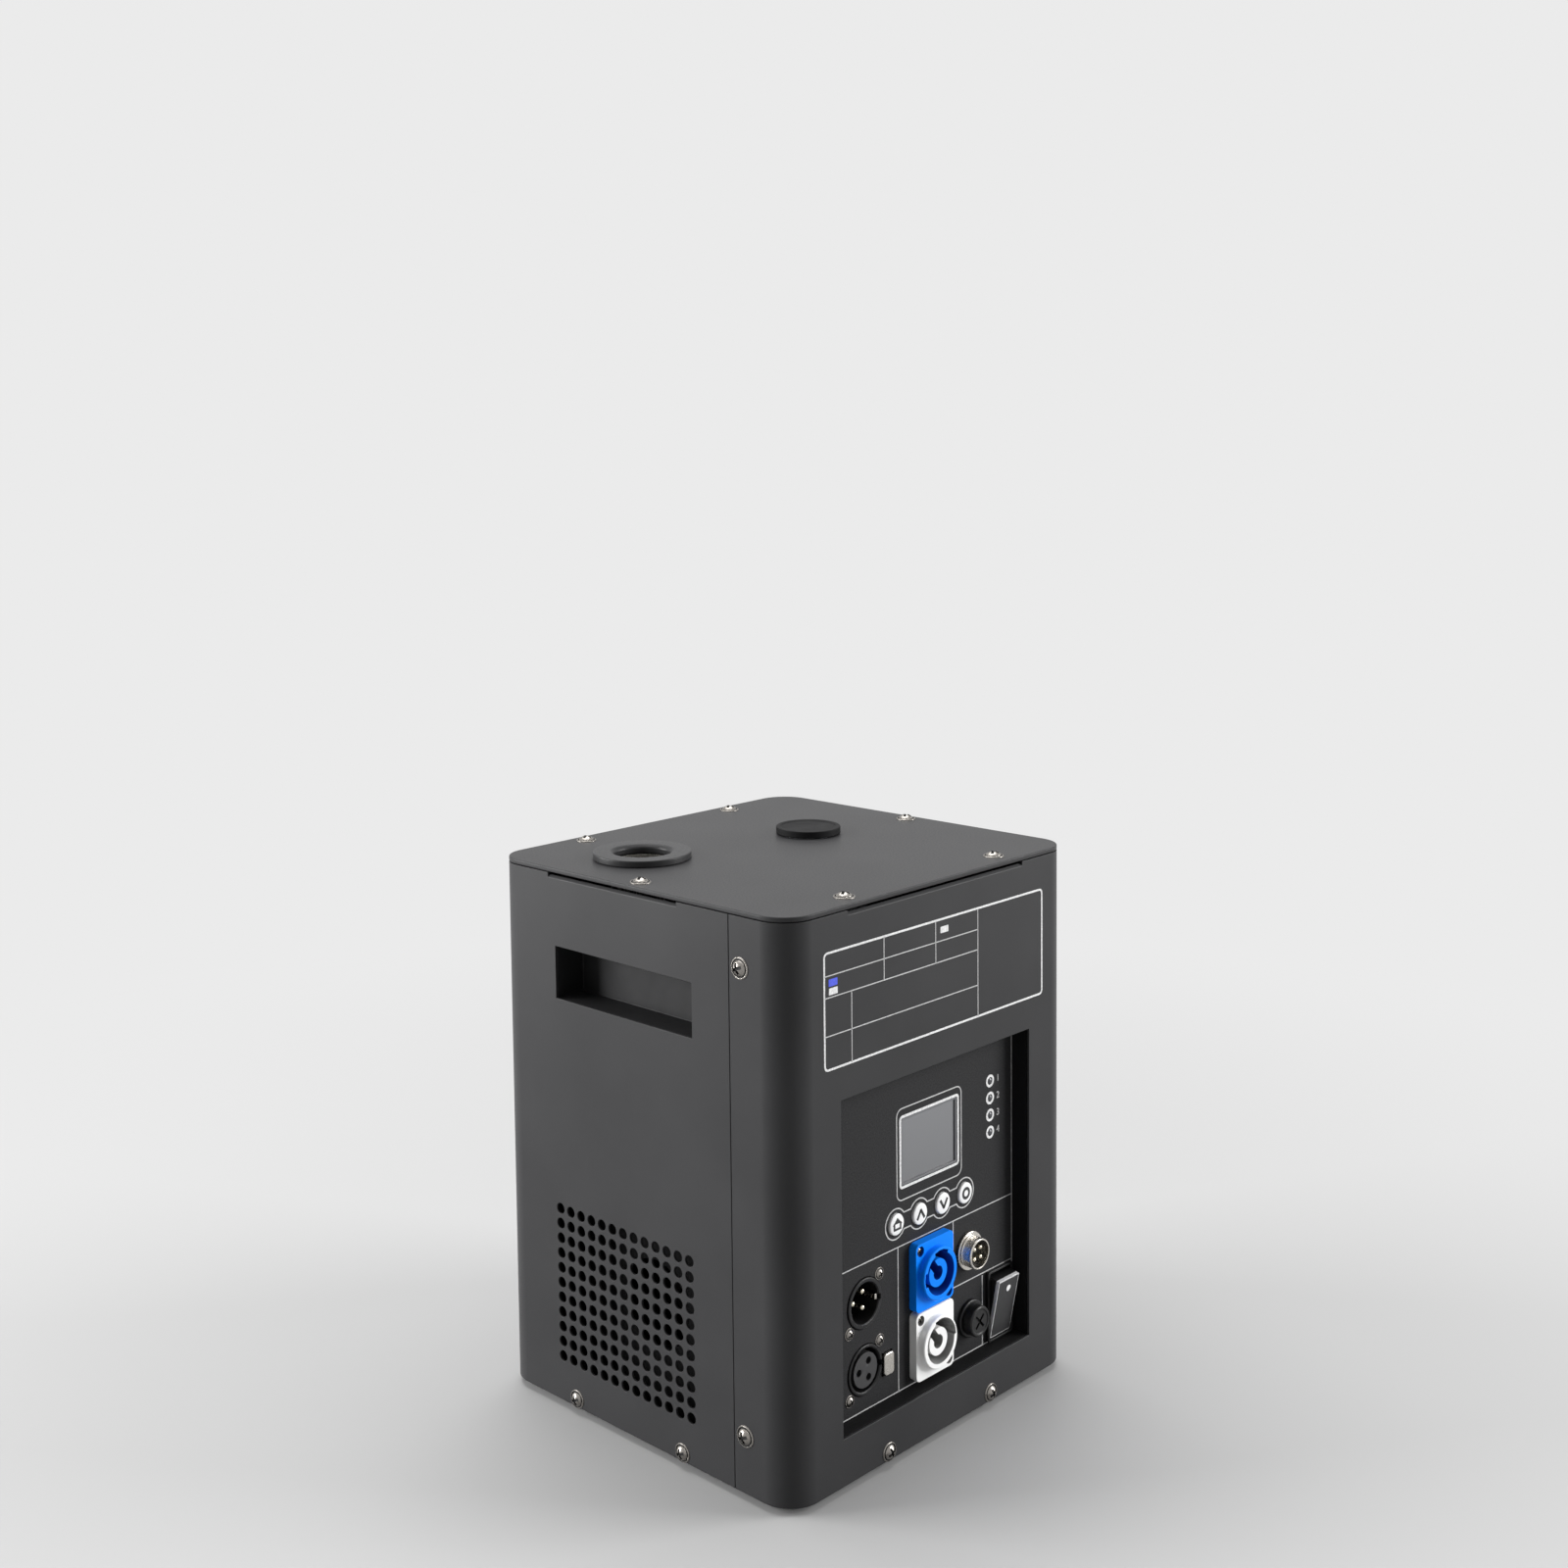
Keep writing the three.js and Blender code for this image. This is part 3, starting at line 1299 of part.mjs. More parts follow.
function pushButton(name, [x, y]) {
  const flangeFront = -sheet - fitGap;
  const flangeBack = flangeFront - buttonFlangeThickness;
  const stemEnd = -sheet - displayBoardGap + switchBodyHeight + switchPlungerHeight + buttonTravel + fitGap;
  const shape = turned([
    [0, stemEnd],
    [buttonStemRadius, stemEnd],
    [buttonStemRadius, flangeBack],
    [buttonFlangeRadius, flangeBack],
    [buttonFlangeRadius, flangeFront],
    [buttonRadius, flangeFront],
    [buttonRadius, buttonProud - buttonRound],
    [buttonRadius - buttonRound, buttonProud],
    [0, buttonProud],
  ], smallSides);
  return piece(name, shape.translate(x, y, 0), whitePlastic);
}

// Control line sockets, each about its own axis
function dmxShell(boreRadius) {
  const flangeFront = -sheet - fitGap;
  const flangeBack = flangeFront - dmxFlangeThickness;
  const flange = centredBox(2 * dmxFlangeHalfWidth, dmxFlangeHeight, flangeBack, flangeFront);
  const shell = rod(dmxShellRadius, -dmxShellLength, dmxShellProud);
  const bore = rod(boreRadius, -dmxBoreDepth, dmxShellProud + overrun);
  const key = box(
    [0, boreRadius + dmxKeyDepth],
    [-dmxKeyWidth / 2, dmxKeyWidth / 2],
    [-dmxBoreDepth, dmxShellProud + overrun],
  );
  return { flange, shell, bore, key };
}

function dmxInSocket() {
  const { flange, shell, bore, key } = dmxShell(dmxInBoreRadius);
  return piece('dmx_in_socket', cut(join(flange, shell), bore, key), blackPlastic);
}

function polar(radius, degrees) {
  const angle = THREE.MathUtils.degToRad(degrees);
  return [radius * Math.cos(angle), radius * Math.sin(angle)];
}

function dmxInPins() {
  const floor = fitGap - dmxBoreDepth;
  const disc = rod(dmxInBoreRadius - fitGap, floor, floor + dmxInsertBase);
  const pins = dmxPinAngles.map((angle) => {
    const [x, y] = polar(dmxPinCircle, angle);
    const top = floor + dmxInsertBase + dmxPinLength;
    return rod(dmxPinRadius, floor + dmxInsertBase - overlap, top, pinSides).translate(x, y, 0);
  });
  return piece('dmx_in_pins', join(disc, ...pins), blackPlastic);
}

function dmxOutSocket() {
  const { flange, shell, bore } = dmxShell(dmxOutBoreRadius);
  const back = -sheet - fitGap - dmxFlangeThickness;
  const [slotWidth, slotTall] = [latchWidth + 2 * fitGap, latchHeight + 2 * fitGap];
  const guide = box(
    [0, latchOffset + slotWidth / 2 + latchGuide],
    [-latchDrop - slotTall / 2 - latchGuide, -latchDrop + slotTall / 2 + latchGuide],
    [back, back + dmxFlangeThickness],
  );
  const slot = centredBox(slotWidth, slotTall, back - overrun, overrun).translate(latchOffset, -latchDrop, 0);
  return piece('dmx_out_socket', cut(join(flange, shell, guide), bore, slot), blackPlastic);
}

function dmxOutInsert() {
  const floor = fitGap - dmxBoreDepth;
  const base = rod(dmxOutBoreRadius - fitGap, floor, floor + dmxInsertBase);
  const core = rod(dmxCoreRadius, floor, dmxShellProud - fitGap);
  const holes = dmxPinAngles.map((angle) => {
    const [x, y] = polar(dmxPinCircle, angle);
    const depth = [dmxShellProud - dmxHoleDepth, dmxShellProud + overrun];
    return rod(dmxHoleRadius, ...depth, pinSides).translate(x, y, 0);
  });
  return piece('dmx_out_insert', cut(join(base, core), ...holes), blackPlastic);
}

function dmxLatch() {
  const guideBack = -sheet - fitGap - dmxFlangeThickness - fitGap;
  const tabBody = centredBox(latchWidth, latchHeight, -latchLength, latchProud);
  const stop = centredBox(latchWidth, latchHeight + 2 * latchStop, guideBack - latchStopDepth, guideBack);
  return piece('dmx_out_latch', join(tabBody, stop).translate(latchOffset, -latchDrop, 0), nickel);
}

// Mains sockets: flange, collar, and a keyed ring-shaped recess round a core
function powerSocket(name, finish, angles) {
  const flange = plate(
    roundedRectangle(powerFlangeWidth, powerFlangeHeight, powerFlangeCorner),
    fitGap,
    powerFlangeProud,
  );
  const barrel = rod(powerCollarRadius, -powerBodyLength, powerCollarProud);
  const mouth = rod(powerRecessRadius, powerFlangeProud, powerCollarProud + overrun);
  const recess = ring(powerCoreRadius, powerRecessRadius, -powerRecessDepth, powerFlangeProud + overlap);
  const keys = angles.keys.map((angle) => box(
    [powerCoreRadius + overlap, powerRecessRadius + powerKeyDepth],
    [-powerKeyWidth / 2, powerKeyWidth / 2],
    [-powerRecessDepth, powerCollarProud + overrun],
  ).rotateZ(THREE.MathUtils.degToRad(angle)));
  const boreDepth = [powerFlangeProud - powerCoreBoreDepth, powerFlangeProud + overrun];
  const bore = rod(powerCoreBore, ...boreDepth, pinSides);
  const slot = box([0, powerCoreRadius + overlap], [-powerCoreSlot / 2, powerCoreSlot / 2], boreDepth);
  slot.rotateZ(THREE.MathUtils.degToRad(angles.slot));
  return piece(name, cut(join(flange, barrel), mouth, recess, ...keys, bore, slot), finish);
}

function remoteSocket() {
  const shape = turned([
    [0, -remoteBodyLength],
    [remoteThreadRadius, -remoteBodyLength],
    [remoteThreadRadius, fitGap],
    [remoteFlangeRadius, fitGap],
    [remoteFlangeRadius, fitGap + remoteFlangeHeight],
    [remoteBarrelRadius, fitGap + remoteFlangeHeight],
    [remoteBarrelRadius, remoteBarrelProud - remoteRound],
    [remoteBarrelRadius - remoteRound, remoteBarrelProud],
    [remoteBoreRadius, remoteBarrelProud],
    [remoteBoreRadius, fitGap],
    [remoteBoreRadius - remoteRound, fitGap],
    [remoteBoreRadius - remoteRound, -remoteBoreDepth],
    [0, -remoteBoreDepth],
  ]);
  return piece('remote_socket', shape, nickel);
}

function remoteInsert() {
  const core = rod(remoteBoreRadius - remoteRound - fitGap, fitGap - remoteBoreDepth, remoteInsertProud);
  const pins = Array.from({ length: remotePins }, (_, i) => {
    const [x, y] = polar(remotePinCircle, (i + 1 / 2) * 360 / remotePins);
    return rod(remotePinRadius, remoteInsertProud - overlap, remoteInsertProud + remotePinLength, pinSides)
      .translate(x, y, 0);
  });
  return piece('remote_insert', join(core, ...pins), blackPlastic);
}

function fuseHolder() {
  const shape = turned([
    [0, -fuseBarrelLength],
    [fuseBarrelRadius, -fuseBarrelLength],
    [fuseBarrelRadius, fitGap],
    [fuseFlangeRadius, fitGap],
    [fuseFlangeRadius, fitGap + fuseFlangeHeight],
    [fuseBoreRadius, fitGap + fuseFlangeHeight],
    [fuseBoreRadius, -fuseBoreDepth],
    [0, -fuseBoreDepth],
  ]);
  return piece('fuse_holder', shape, blackPlastic);
}

function fuseCap() {
  const under = fitGap + fuseFlangeHeight + fitGap;
  const top = under + fuseCapHeight;
  const shankEnd = under - fuseCapShankLength;
  const blank = turned([
    [0, shankEnd + fuseSocketDepth],
    [fuseRadius + fitGap, shankEnd + fuseSocketDepth],
    [fuseRadius + fitGap, shankEnd],
    [fuseCapShankRadius, shankEnd],
    [fuseCapShankRadius, under],
    [fuseCapRadius, under],
    [fuseCapRadius, top - fuseCapRound],
    [fuseCapRadius - fuseCapRound, top],
    [0, top],
  ]);
  const slot = [top - fuseCapSlotDepth, top + overrun];
  const cross = [
    centredBox(fuseCapSlotLength, fuseCapSlotWidth, ...slot),
    centredBox(fuseCapSlotWidth, fuseCapSlotLength, ...slot),
  ].map((part) => part.rotateZ(Math.PI / 4));
  return piece('fuse_cap', cut(blank, ...cross), blackPlastic);
}

function fuse() {
  const front = fitGap + fuseFlangeHeight + fitGap - fuseCapShankLength + fuseSocketDepth - fitGap;
  return piece('fuse', rod(fuseRadius, front - fuseLength, front, smallSides), fuseGlass);
}

// Mains switch: the housing's cradle and the paddle that rocks in it
function switchHousing() {
  const bezel = centredBox(bezelWidth, bezelHeight, fitGap, bezelProud);
  const body = centredBox(switchBodyWidth, bezelHeight - 2 * switchBodyInset, -switchBodyLength, bezelProud);
  const cradle = centredBox(
    rockerWidth + 2 * fitGap,
    2 * rockerOpeningHalfHeight,
    -cradleDepth,
    bezelProud + overrun,
  );
  const pinHoles = rod(rockerPinRadius + fitGap, -bezelWidth, bezelWidth, pinSides);
  alongX(pinHoles).translate(0, 0, -rockerPivotDepth);
  return piece('switch_housing', cut(join(bezel, body), cradle, pinHoles), blackPlastic);
}

function rocker() {
  const half = rockerWidth / 2;
  const outline = new THREE.Shape();
  outline.moveTo(rockerFace, -rockerHalfHeight);
  outline.lineTo(rockerFace, rockerHalfHeight);
  outline.lineTo(rockerShoulderReach, rockerShoulderHalfHeight);
  outline.lineTo(0, rockerShoulderHalfHeight);
  outline.lineTo(-rockerBack, rockerBackHalfHeight);
  outline.lineTo(-rockerBack, -rockerBackHalfHeight);
  outline.lineTo(0, -rockerShoulderHalfHeight);
  outline.lineTo(rockerShoulderReach, -rockerShoulderHalfHeight);
  const paddle = plate(outline, -half, half).rotateY(-Math.PI / 2);
  const pins = rod(rockerPinRadius, -half - rockerPinReach, half + rockerPinReach, pinSides);
  const mesh = piece('power_rocker', join(paddle, alongX(pins)), greyPlastic);
  mesh.position.z = -rockerPivotDepth;
  mesh.rotation.x = THREE.MathUtils.degToRad(rockerTilt);
  return mesh;
}

function panelAssembly() {
  const panel = assembly(
    [0, panelFaceY, 0],
    controlPanel(),
    displayModule(),
    displayBoard(),
    lampBlock(),
    ...buttonNames.map((name, i) => pushButton(name, buttonPlaces[i])),
    assembly([dmxX, dmxInZ, 0], dmxInSocket(), dmxInPins()),
    assembly([dmxX, dmxOutZ, 0], dmxOutSocket(), dmxOutInsert(), dmxLatch()),
    assembly([powerX, powerInZ, 0], powerSocket('power_in_socket', bluePlastic, powerInAngles)),
    assembly([powerX, powerOutZ, 0], powerSocket('power_out_socket', whitePlastic, powerOutAngles)),
    assembly([remoteX, remoteZ, 0], remoteSocket(), remoteInsert()),
    assembly([fuseX, fuseZ, 0], fuseHolder(), fuseCap(), fuse()),
    assembly([switchX, switchZ, 0], switchHousing(), rocker()),
  );
  panel.rotation.x = Math.PI / 2;
  return panel;
}

function feederAssembly() {
  const members = [feederBlock(), feedTube(), feedAuger(), feedMotor()];
  const feeder = assembly([hopperX, hopperY, augerZ], ...members);
  feeder.rotation.z = feedAngle;
  return feeder;
}

const machine = new THREE.Group();
machine.add(assembly(
  [0, 0, footHeight],
  baseTray(),
  ...footPlaces.map((place, i) => foot(i + 1, place)),
  frontCover(),
  sideShell(),
  lid(),
  ...lidScrews(),
  ...coverScrews(),
  slotCup('handle_cup_left', -1),
  slotCup('handle_cup_right', 1),
  innerFrame(),
  blower(),
  coolingFan(),
  powerSupply(),
  controlBoard(),
  assembly([nozzleX, nozzleY, 0], nozzleCollar(), sparkTube(), heaterBand(), airAdapter()),
  assembly([hopperX, hopperY, 0], hopperFunnel(), hopperVessel(), fillCap()),
  feederAssembly(),
  panelAssembly(),
));

export default machine;
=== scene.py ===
"""Looks of the cold spark machine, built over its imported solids.

Sizes are millimetres in the part's own frame: +Z up, the control panel facing -Y, the floor at z = 0.
"""

import json
import logging
import math
from dataclasses import dataclass, field
from enum import Enum
from typing import Any

import bmesh
import bpy
from mathutils import Matrix, Vector

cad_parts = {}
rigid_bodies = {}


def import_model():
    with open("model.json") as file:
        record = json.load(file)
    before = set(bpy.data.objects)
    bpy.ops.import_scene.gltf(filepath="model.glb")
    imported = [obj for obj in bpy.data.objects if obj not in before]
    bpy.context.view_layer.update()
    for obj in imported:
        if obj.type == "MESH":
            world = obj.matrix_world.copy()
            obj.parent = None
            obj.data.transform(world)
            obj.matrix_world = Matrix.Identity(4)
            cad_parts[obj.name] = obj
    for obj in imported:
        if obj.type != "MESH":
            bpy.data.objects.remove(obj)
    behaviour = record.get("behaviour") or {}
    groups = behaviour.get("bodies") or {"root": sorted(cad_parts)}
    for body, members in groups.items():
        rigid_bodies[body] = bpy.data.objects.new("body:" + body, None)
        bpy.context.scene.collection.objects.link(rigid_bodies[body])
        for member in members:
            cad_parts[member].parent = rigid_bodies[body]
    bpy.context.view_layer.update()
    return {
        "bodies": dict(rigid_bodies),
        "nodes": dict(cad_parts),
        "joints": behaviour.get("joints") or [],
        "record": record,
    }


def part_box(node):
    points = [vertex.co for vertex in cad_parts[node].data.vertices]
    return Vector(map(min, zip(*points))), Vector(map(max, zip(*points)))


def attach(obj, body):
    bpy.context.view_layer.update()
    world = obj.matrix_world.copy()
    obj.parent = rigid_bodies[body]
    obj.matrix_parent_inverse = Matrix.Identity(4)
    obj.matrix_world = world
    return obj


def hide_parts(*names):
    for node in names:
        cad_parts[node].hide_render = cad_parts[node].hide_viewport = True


LOG = logging.getLogger("cold_spark_machine")
MM = 0.001
MERGE = 0.0001
OVERRUN = 2.0
SHARP = math.radians(35)

Point = tuple[float, float]
Outline = list[Point]
Socket = bpy.types.NodeSocket
Object = bpy.types.Object


class Facing(Enum):
    """Side of the case that a piece is fitted to. The piece's own z axis points out of that side."""

    FRONT = ((1, 0, 0), (0, 0, 1), (0, -1, 0))
    REAR = ((-1, 0, 0), (0, 0, 1), (0, 1, 0))
    LEFT = ((0, -1, 0), (0, 0, 1), (-1, 0, 0))
    RIGHT = ((0, 1, 0), (0, 0, 1), (1, 0, 0))

    def at(self, x: float, y: float, z: float) -> Matrix:
        """Gives the placement of a piece on this side.

        Args:
            x, y, z: The piece's own origin, in the part's frame.

        Returns:
            The matrix from the piece's own frame to the part's.
        """
        return Matrix.Translation((x, y, z)) @ Matrix(self.value).transposed().to_4x4()


SIDES = (("left", -1, Facing.LEFT), ("right", 1, Facing.RIGHT))


def linear(code: str) -> tuple[float, float, float, float]:
    """Turns an sRGB hex value such as 3f3f40 into linear RGBA."""
    parts = [int(code[i : i + 2], 16) / 255 for i in (0, 2, 4)]
    straight = [c / 12.92 if c <= 0.04045 else ((c + 0.055) / 1.055) ** 2.4 for c in parts]
    return (*straight, 1.0)


class Graph:
    """The node tree of a material or of the world."""

    def __init__(self, owner: bpy.types.Material | bpy.types.World) -> None:
        """Starts with an empty tree."""
        owner.use_nodes = True
        self.tree = owner.node_tree
        self.tree.nodes.clear()

    def add(self, kind: str, inputs: dict | None = None, **settings: Any) -> bpy.types.Node:
        """Adds a shader node with its settings and links.

        Args:
            kind: The node's type, without ShaderNode before it.
            inputs: Input name or number, and the socket to link or the value to set.
            settings: The node's own options.

        Returns:
            The new node.
        """
        node = self.tree.nodes.new(f"ShaderNode{kind}")
        for name, value in settings.items():
            setattr(node, name, value)
        for key, value in (inputs or {}).items():
            if isinstance(value, Socket):
                self.tree.links.new(value, node.inputs[key])
            else:
                node.inputs[key].default_value = value
        return node

    def mix(self, share: Socket, first: str, second: str) -> Socket:
        """Mixes two colours by a share and returns the colour."""
        return self.add("Mix", {0: share, 6: linear(first), 7: linear(second)}, data_type="RGBA").outputs[2]


class Surface(Graph):
    """The node tree of a finish, with its shader."""

    def __init__(self, finish: "Finish") -> None:
        """Starts a new material with the finish's plain shader."""
        self.material = bpy.data.materials.new(finish.name)
        super().__init__(self.material)
        self.coords = self.add("TexCoord").outputs["Object"]
        plain = {
            "Base Color": linear(finish.colour),
            "Roughness": finish.roughness,
            "Metallic": finish.metallic,
            "Specular IOR Level": finish.shine,
        }
        self.shader = self.add("BsdfPrincipled", plain)
        self.add("OutputMaterial", {"Surface": self.shader.outputs["BSDF"]})

    def noise(self, size: float, rough: float = 0.5, coords: Socket | None = None) -> Socket:
        """Adds a noise whose lumps are the given size in millimetres and returns its value."""
        vector = self.coords if coords is None else coords
        settings = {"Vector": vector, "Scale": 1 / (size * MM), "Detail": 3.0, "Roughness": rough}
        return self.add("TexNoise", settings).outputs["Fac"]

    def spread(self, value: Socket, low: float = 0.0, high: float = 1.0) -> Socket:
        """Maps the middle of a noise to a range and returns the result."""
        settings = {"Value": value, "From Min": 0.3, "From Max": 0.7, "To Min": low, "To Max": high}
        return self.add("MapRange", settings).outputs["Result"]

    def feed(self, name: str, value: Socket) -> None:
        """Links a value or colour to an input of the shader."""
        self.tree.links.new(value, self.shader.inputs[name])

    def dull(self, value: Socket, low: float, high: float) -> None:
        """Lets a noise vary the roughness between two values."""
        self.feed("Roughness", self.spread(value, low, high))

    def relief(self, height: Socket, depth: float, strength: float) -> None:
        """Gives the shader a bump of the given depth in millimetres."""
        bump = self.add("Bump", {"Height": height, "Distance": depth * MM, "Strength": strength})
        self.feed("Normal", bump.outputs["Normal"])


@dataclass(frozen=True)
class Finish:
    """What a surface is made of. The kinds below add its pattern."""

    name: str
    slot: str
    colour: str
    roughness: float
    metallic: float = 0.0
    shine: float = 0.5

    def material(self) -> bpy.types.Material:
        """Makes the finish's material, once.

        Returns:
            The material.
        """
        made = bpy.data.materials.get(self.name)
        if made:
            return made
        surface = Surface(self)
        self.detail(surface)
        return surface.material

    def detail(self, surface: Surface) -> None:
        """Adds the finish's own pattern to its shader."""
        raise NotImplementedError


@dataclass(frozen=True)
class PowderCoat(Finish):
    """Satin powder coat baked on sheet steel: a very fine orange peel that softens each reflection."""

    deep: str = "303031"
    grain: float = 0.7
    cloud: float = 45.0
    depth: float = 0.05
    vary: float = 0.05

    def detail(self, surface: Surface) -> None:
        """Adds the orange peel and the slight cloudiness of the coat."""
        peel = surface.noise(self.grain)
        cloud = surface.noise(self.cloud)
        surface.feed("Base Color", surface.mix(surface.spread(cloud), self.deep, self.colour))
        surface.dull(peel, self.roughness - self.vary, self.roughness + self.vary)
        surface.relief(peel, self.depth, 0.35)


@dataclass(frozen=True)
class PrintedFilm(Finish):
    """Textured polycarbonate film on the panel: a dark grey crystal grain with paler specks."""

    speck: str = "353536"
    grain: float = 0.6
    depth: float = 0.06

    def detail(self, surface: Surface) -> None:
        """Adds the crystal grain, drawn a little coarse so that it shows."""
        grain = surface.noise(self.grain, 0.7)
        surface.feed("Base Color", surface.mix(surface.spread(grain), self.colour, self.speck))
        surface.relief(grain, self.depth, 0.5)


@dataclass(frozen=True)
class MouldedPlastic(Finish):
    """Injection moulded plastic: even colour with the faint spark texture of its mould."""

    grain: float = 0.45
    patch: float = 8.0
    depth: float = 0.03
    vary: float = 0.05

    def detail(self, surface: Surface) -> None:
        """Adds the mould's texture and the unevenness of its shine."""
        grain = surface.noise(self.grain)
        surface.dull(surface.noise(self.patch), self.roughness - self.vary, self.roughness + self.vary)
        surface.relief(grain, self.depth, 0.25)


@dataclass(frozen=True)
class PlatedMetal(Finish):
    """Nickel plating on a turned or pressed piece: bright, with fine handling marks."""

    mark: float = 1.2
    depth: float = 0.01

    def detail(self, surface: Surface) -> None:
        """Adds the marks that dull the plating here and there."""
        marks = surface.noise(self.mark, 0.8)
        surface.dull(marks, self.roughness - 0.06, self.roughness + 0.1)
        surface.relief(marks, self.depth, 0.2)


@dataclass(frozen=True)
class RolledMetal(Finish):
    """Rolled or extruded metal: fine lines along one axis from the mill."""

    lines: tuple[float, float, float] = (1.0, 1.0, 0.04)
    spacing: float = 0.35
    depth: float = 0.015

    def detail(self, surface: Surface) -> None:
        """Adds the mill's lines, which a stretched noise draws."""
        drawn = surface.add("Mapping", {"Vector": surface.coords, "Scale": self.lines})
        lines = surface.noise(self.spacing, coords=drawn.outputs["Vector"])
        surface.dull(lines, self.roughness - 0.08, self.roughness + 0.12)
        surface.relief(lines, self.depth, 0.25)


@dataclass(frozen=True)
class ScreenPrint(Finish):
    """Silk screen ink: thin and satin, and not quite even."""

    worn: str = "bdbdbd"
    patch: float = 0.8
    depth: float = 0.01

    def detail(self, surface: Surface) -> None:
        """Adds the ink's thin and thick places."""
        cover = surface.noise(self.patch)
        surface.feed("Base Color", surface.mix(surface.spread(cover), self.worn, self.colour))
        surface.relief(cover, self.depth, 0.2)


@dataclass(frozen=True)
class ScreenGlass(Finish):
    """Switched-off liquid crystal screen behind its clear cover: grey, with painted shade that makes it a
    little darker low down.
    """

    # Painted shade: the screen is drawn darker towards its bottom, between the heights low and high in
    # millimetres.
    lower: str = "616265"
    low: float = 107.0
    high: float = 135.0
    cell: float = 0.5
    depth: float = 0.004

    def detail(self, surface: Surface) -> None:
        """Adds the painted shade that darkens the screen low down, and the faint grid of its cells."""
        height = surface.add("SeparateXYZ", {"Vector": surface.coords}).outputs["Z"]
        settings = {"Value": height, "From Min": self.low * MM, "From Max": self.high * MM}
        share = surface.add("MapRange", settings).outputs["Result"]
        surface.feed("Base Color", surface.mix(share, self.lower, self.colour))
        surface.relief(surface.noise(self.cell), self.depth, 0.1)
        surface.shader.inputs["Coat Weight"].default_value = 0.6
        surface.shader.inputs["Coat Roughness"].default_value = 0.05


@dataclass(frozen=True)
class BoardLaminate(Finish):
    """Glass fibre circuit board under solder mask: green, with tracks that stand slightly proud."""

    track: str = "2d7a50"
    spacing: float = 2.5
    depth: float = 0.03

    def detail(self, surface: Surface) -> None:
        """Adds the tracks as a brick pattern with thin joints."""
        settings = {
            "Vector": surface.coords,
            "Scale": 1 / (self.spacing * MM),
            "Color1": linear(self.colour),
            "Color2": linear(self.colour),
            "Mortar": linear(self.track),
            "Mortar Size": 0.04,
        }
        tracks = surface.add("TexBrick", settings)
        surface.feed("Base Color", tracks.outputs["Color"])
        surface.relief(tracks.outputs["Fac"], self.depth, 0.3)


@dataclass(frozen=True)
class TubeGlass(Finish):
    """Clear glass tube of the fuse, with the drawn glass's slight ripple."""

    ripple: float = 3.0
    depth: float = 0.02

    def detail(self, surface: Surface) -> None:
        """Makes the glass clear and gives it its ripple."""
        surface.shader.inputs["Transmission Weight"].default_value = 0.9
        surface.shader.inputs["IOR"].default_value = 1.5
        surface.relief(surface.noise(self.ripple), self.depth, 0.2)


CASE_COAT = PowderCoat("case_powder_coat", "black_paint", "353536", 0.42, shine=0.12)
# Partly black powder coat, partly painted shade: made darker than the coat is, for the sunken tray's walls
# and the parts inside the case.
TRAY_COAT_AND_SHADE = PowderCoat("tray_powder_coat_and_painted_shade", "black_paint", "0a0a0b", 0.7, shine=0.15, deep="070708")
COLLAR_COAT = PowderCoat("collar_powder_coat", "black_paint", "303031", 0.42, shine=0.2, deep="2b2b2c")
PANEL_FILM = PrintedFilm("panel_film_polycarbonate", "black_paint", "202021", 0.55, shine=0.07)
BLACK_PLASTIC = MouldedPlastic("black_moulded_nylon", "black_plastic", "0e0e0f", 0.42, shine=0.3)
SOFT_BLACK = MouldedPlastic("black_matt_moulding", "black_plastic", "1c1c1d", 0.6, shine=0.2)
CAP_BLACK = MouldedPlastic("black_cap_moulding", "black_plastic", "0d0d0e", 0.65, shine=0.12)
# Partly black plastic, partly painted shade: near-black for the blower and fans inside the case, seen through
# the vents.
INNER_SHADE_BLACK = MouldedPlastic("black_moulding_painted_shade", "black_plastic", "050505", 0.8, shine=0.05)
# Painted shade: near-black sleeves in the contact holes, for the shade down in them.
CONTACT_HOLE_SHADE = MouldedPlastic("contact_hole_painted_shade", "black_plastic", "050505", 0.8)
GLYPH_BLACK = MouldedPlastic("black_pad_print", "black_plastic", "1c1c1d", 0.6, depth=0.01)
GREY_PLASTIC = MouldedPlastic("grey_rocker_moulding", "grey_plastic", "333334", 0.45, shine=0.25)
# Painted highlight: pale grey for the rim round the rocker's face, where its edges catch the light.
ROCKER_EDGE_HIGHLIGHT = MouldedPlastic("rocker_edge_painted_highlight", "grey_plastic", "cfcfd0", 0.3)
INSERT_GREY = MouldedPlastic("dark_grey_insert_moulding", "black_plastic", "2a2a2b", 0.5)
WHITE_PLASTIC = MouldedPlastic("white_moulded_plastic", "white_plastic", "f2f2f1", 0.36)
KEY_WHITE = MouldedPlastic("white_key_moulding", "white_plastic", "e8e8e8", 0.4)
BLUE_PLASTIC = MouldedPlastic("blue_moulded_plastic", "blue_plastic", "0580f6", 0.45, shine=0.08)
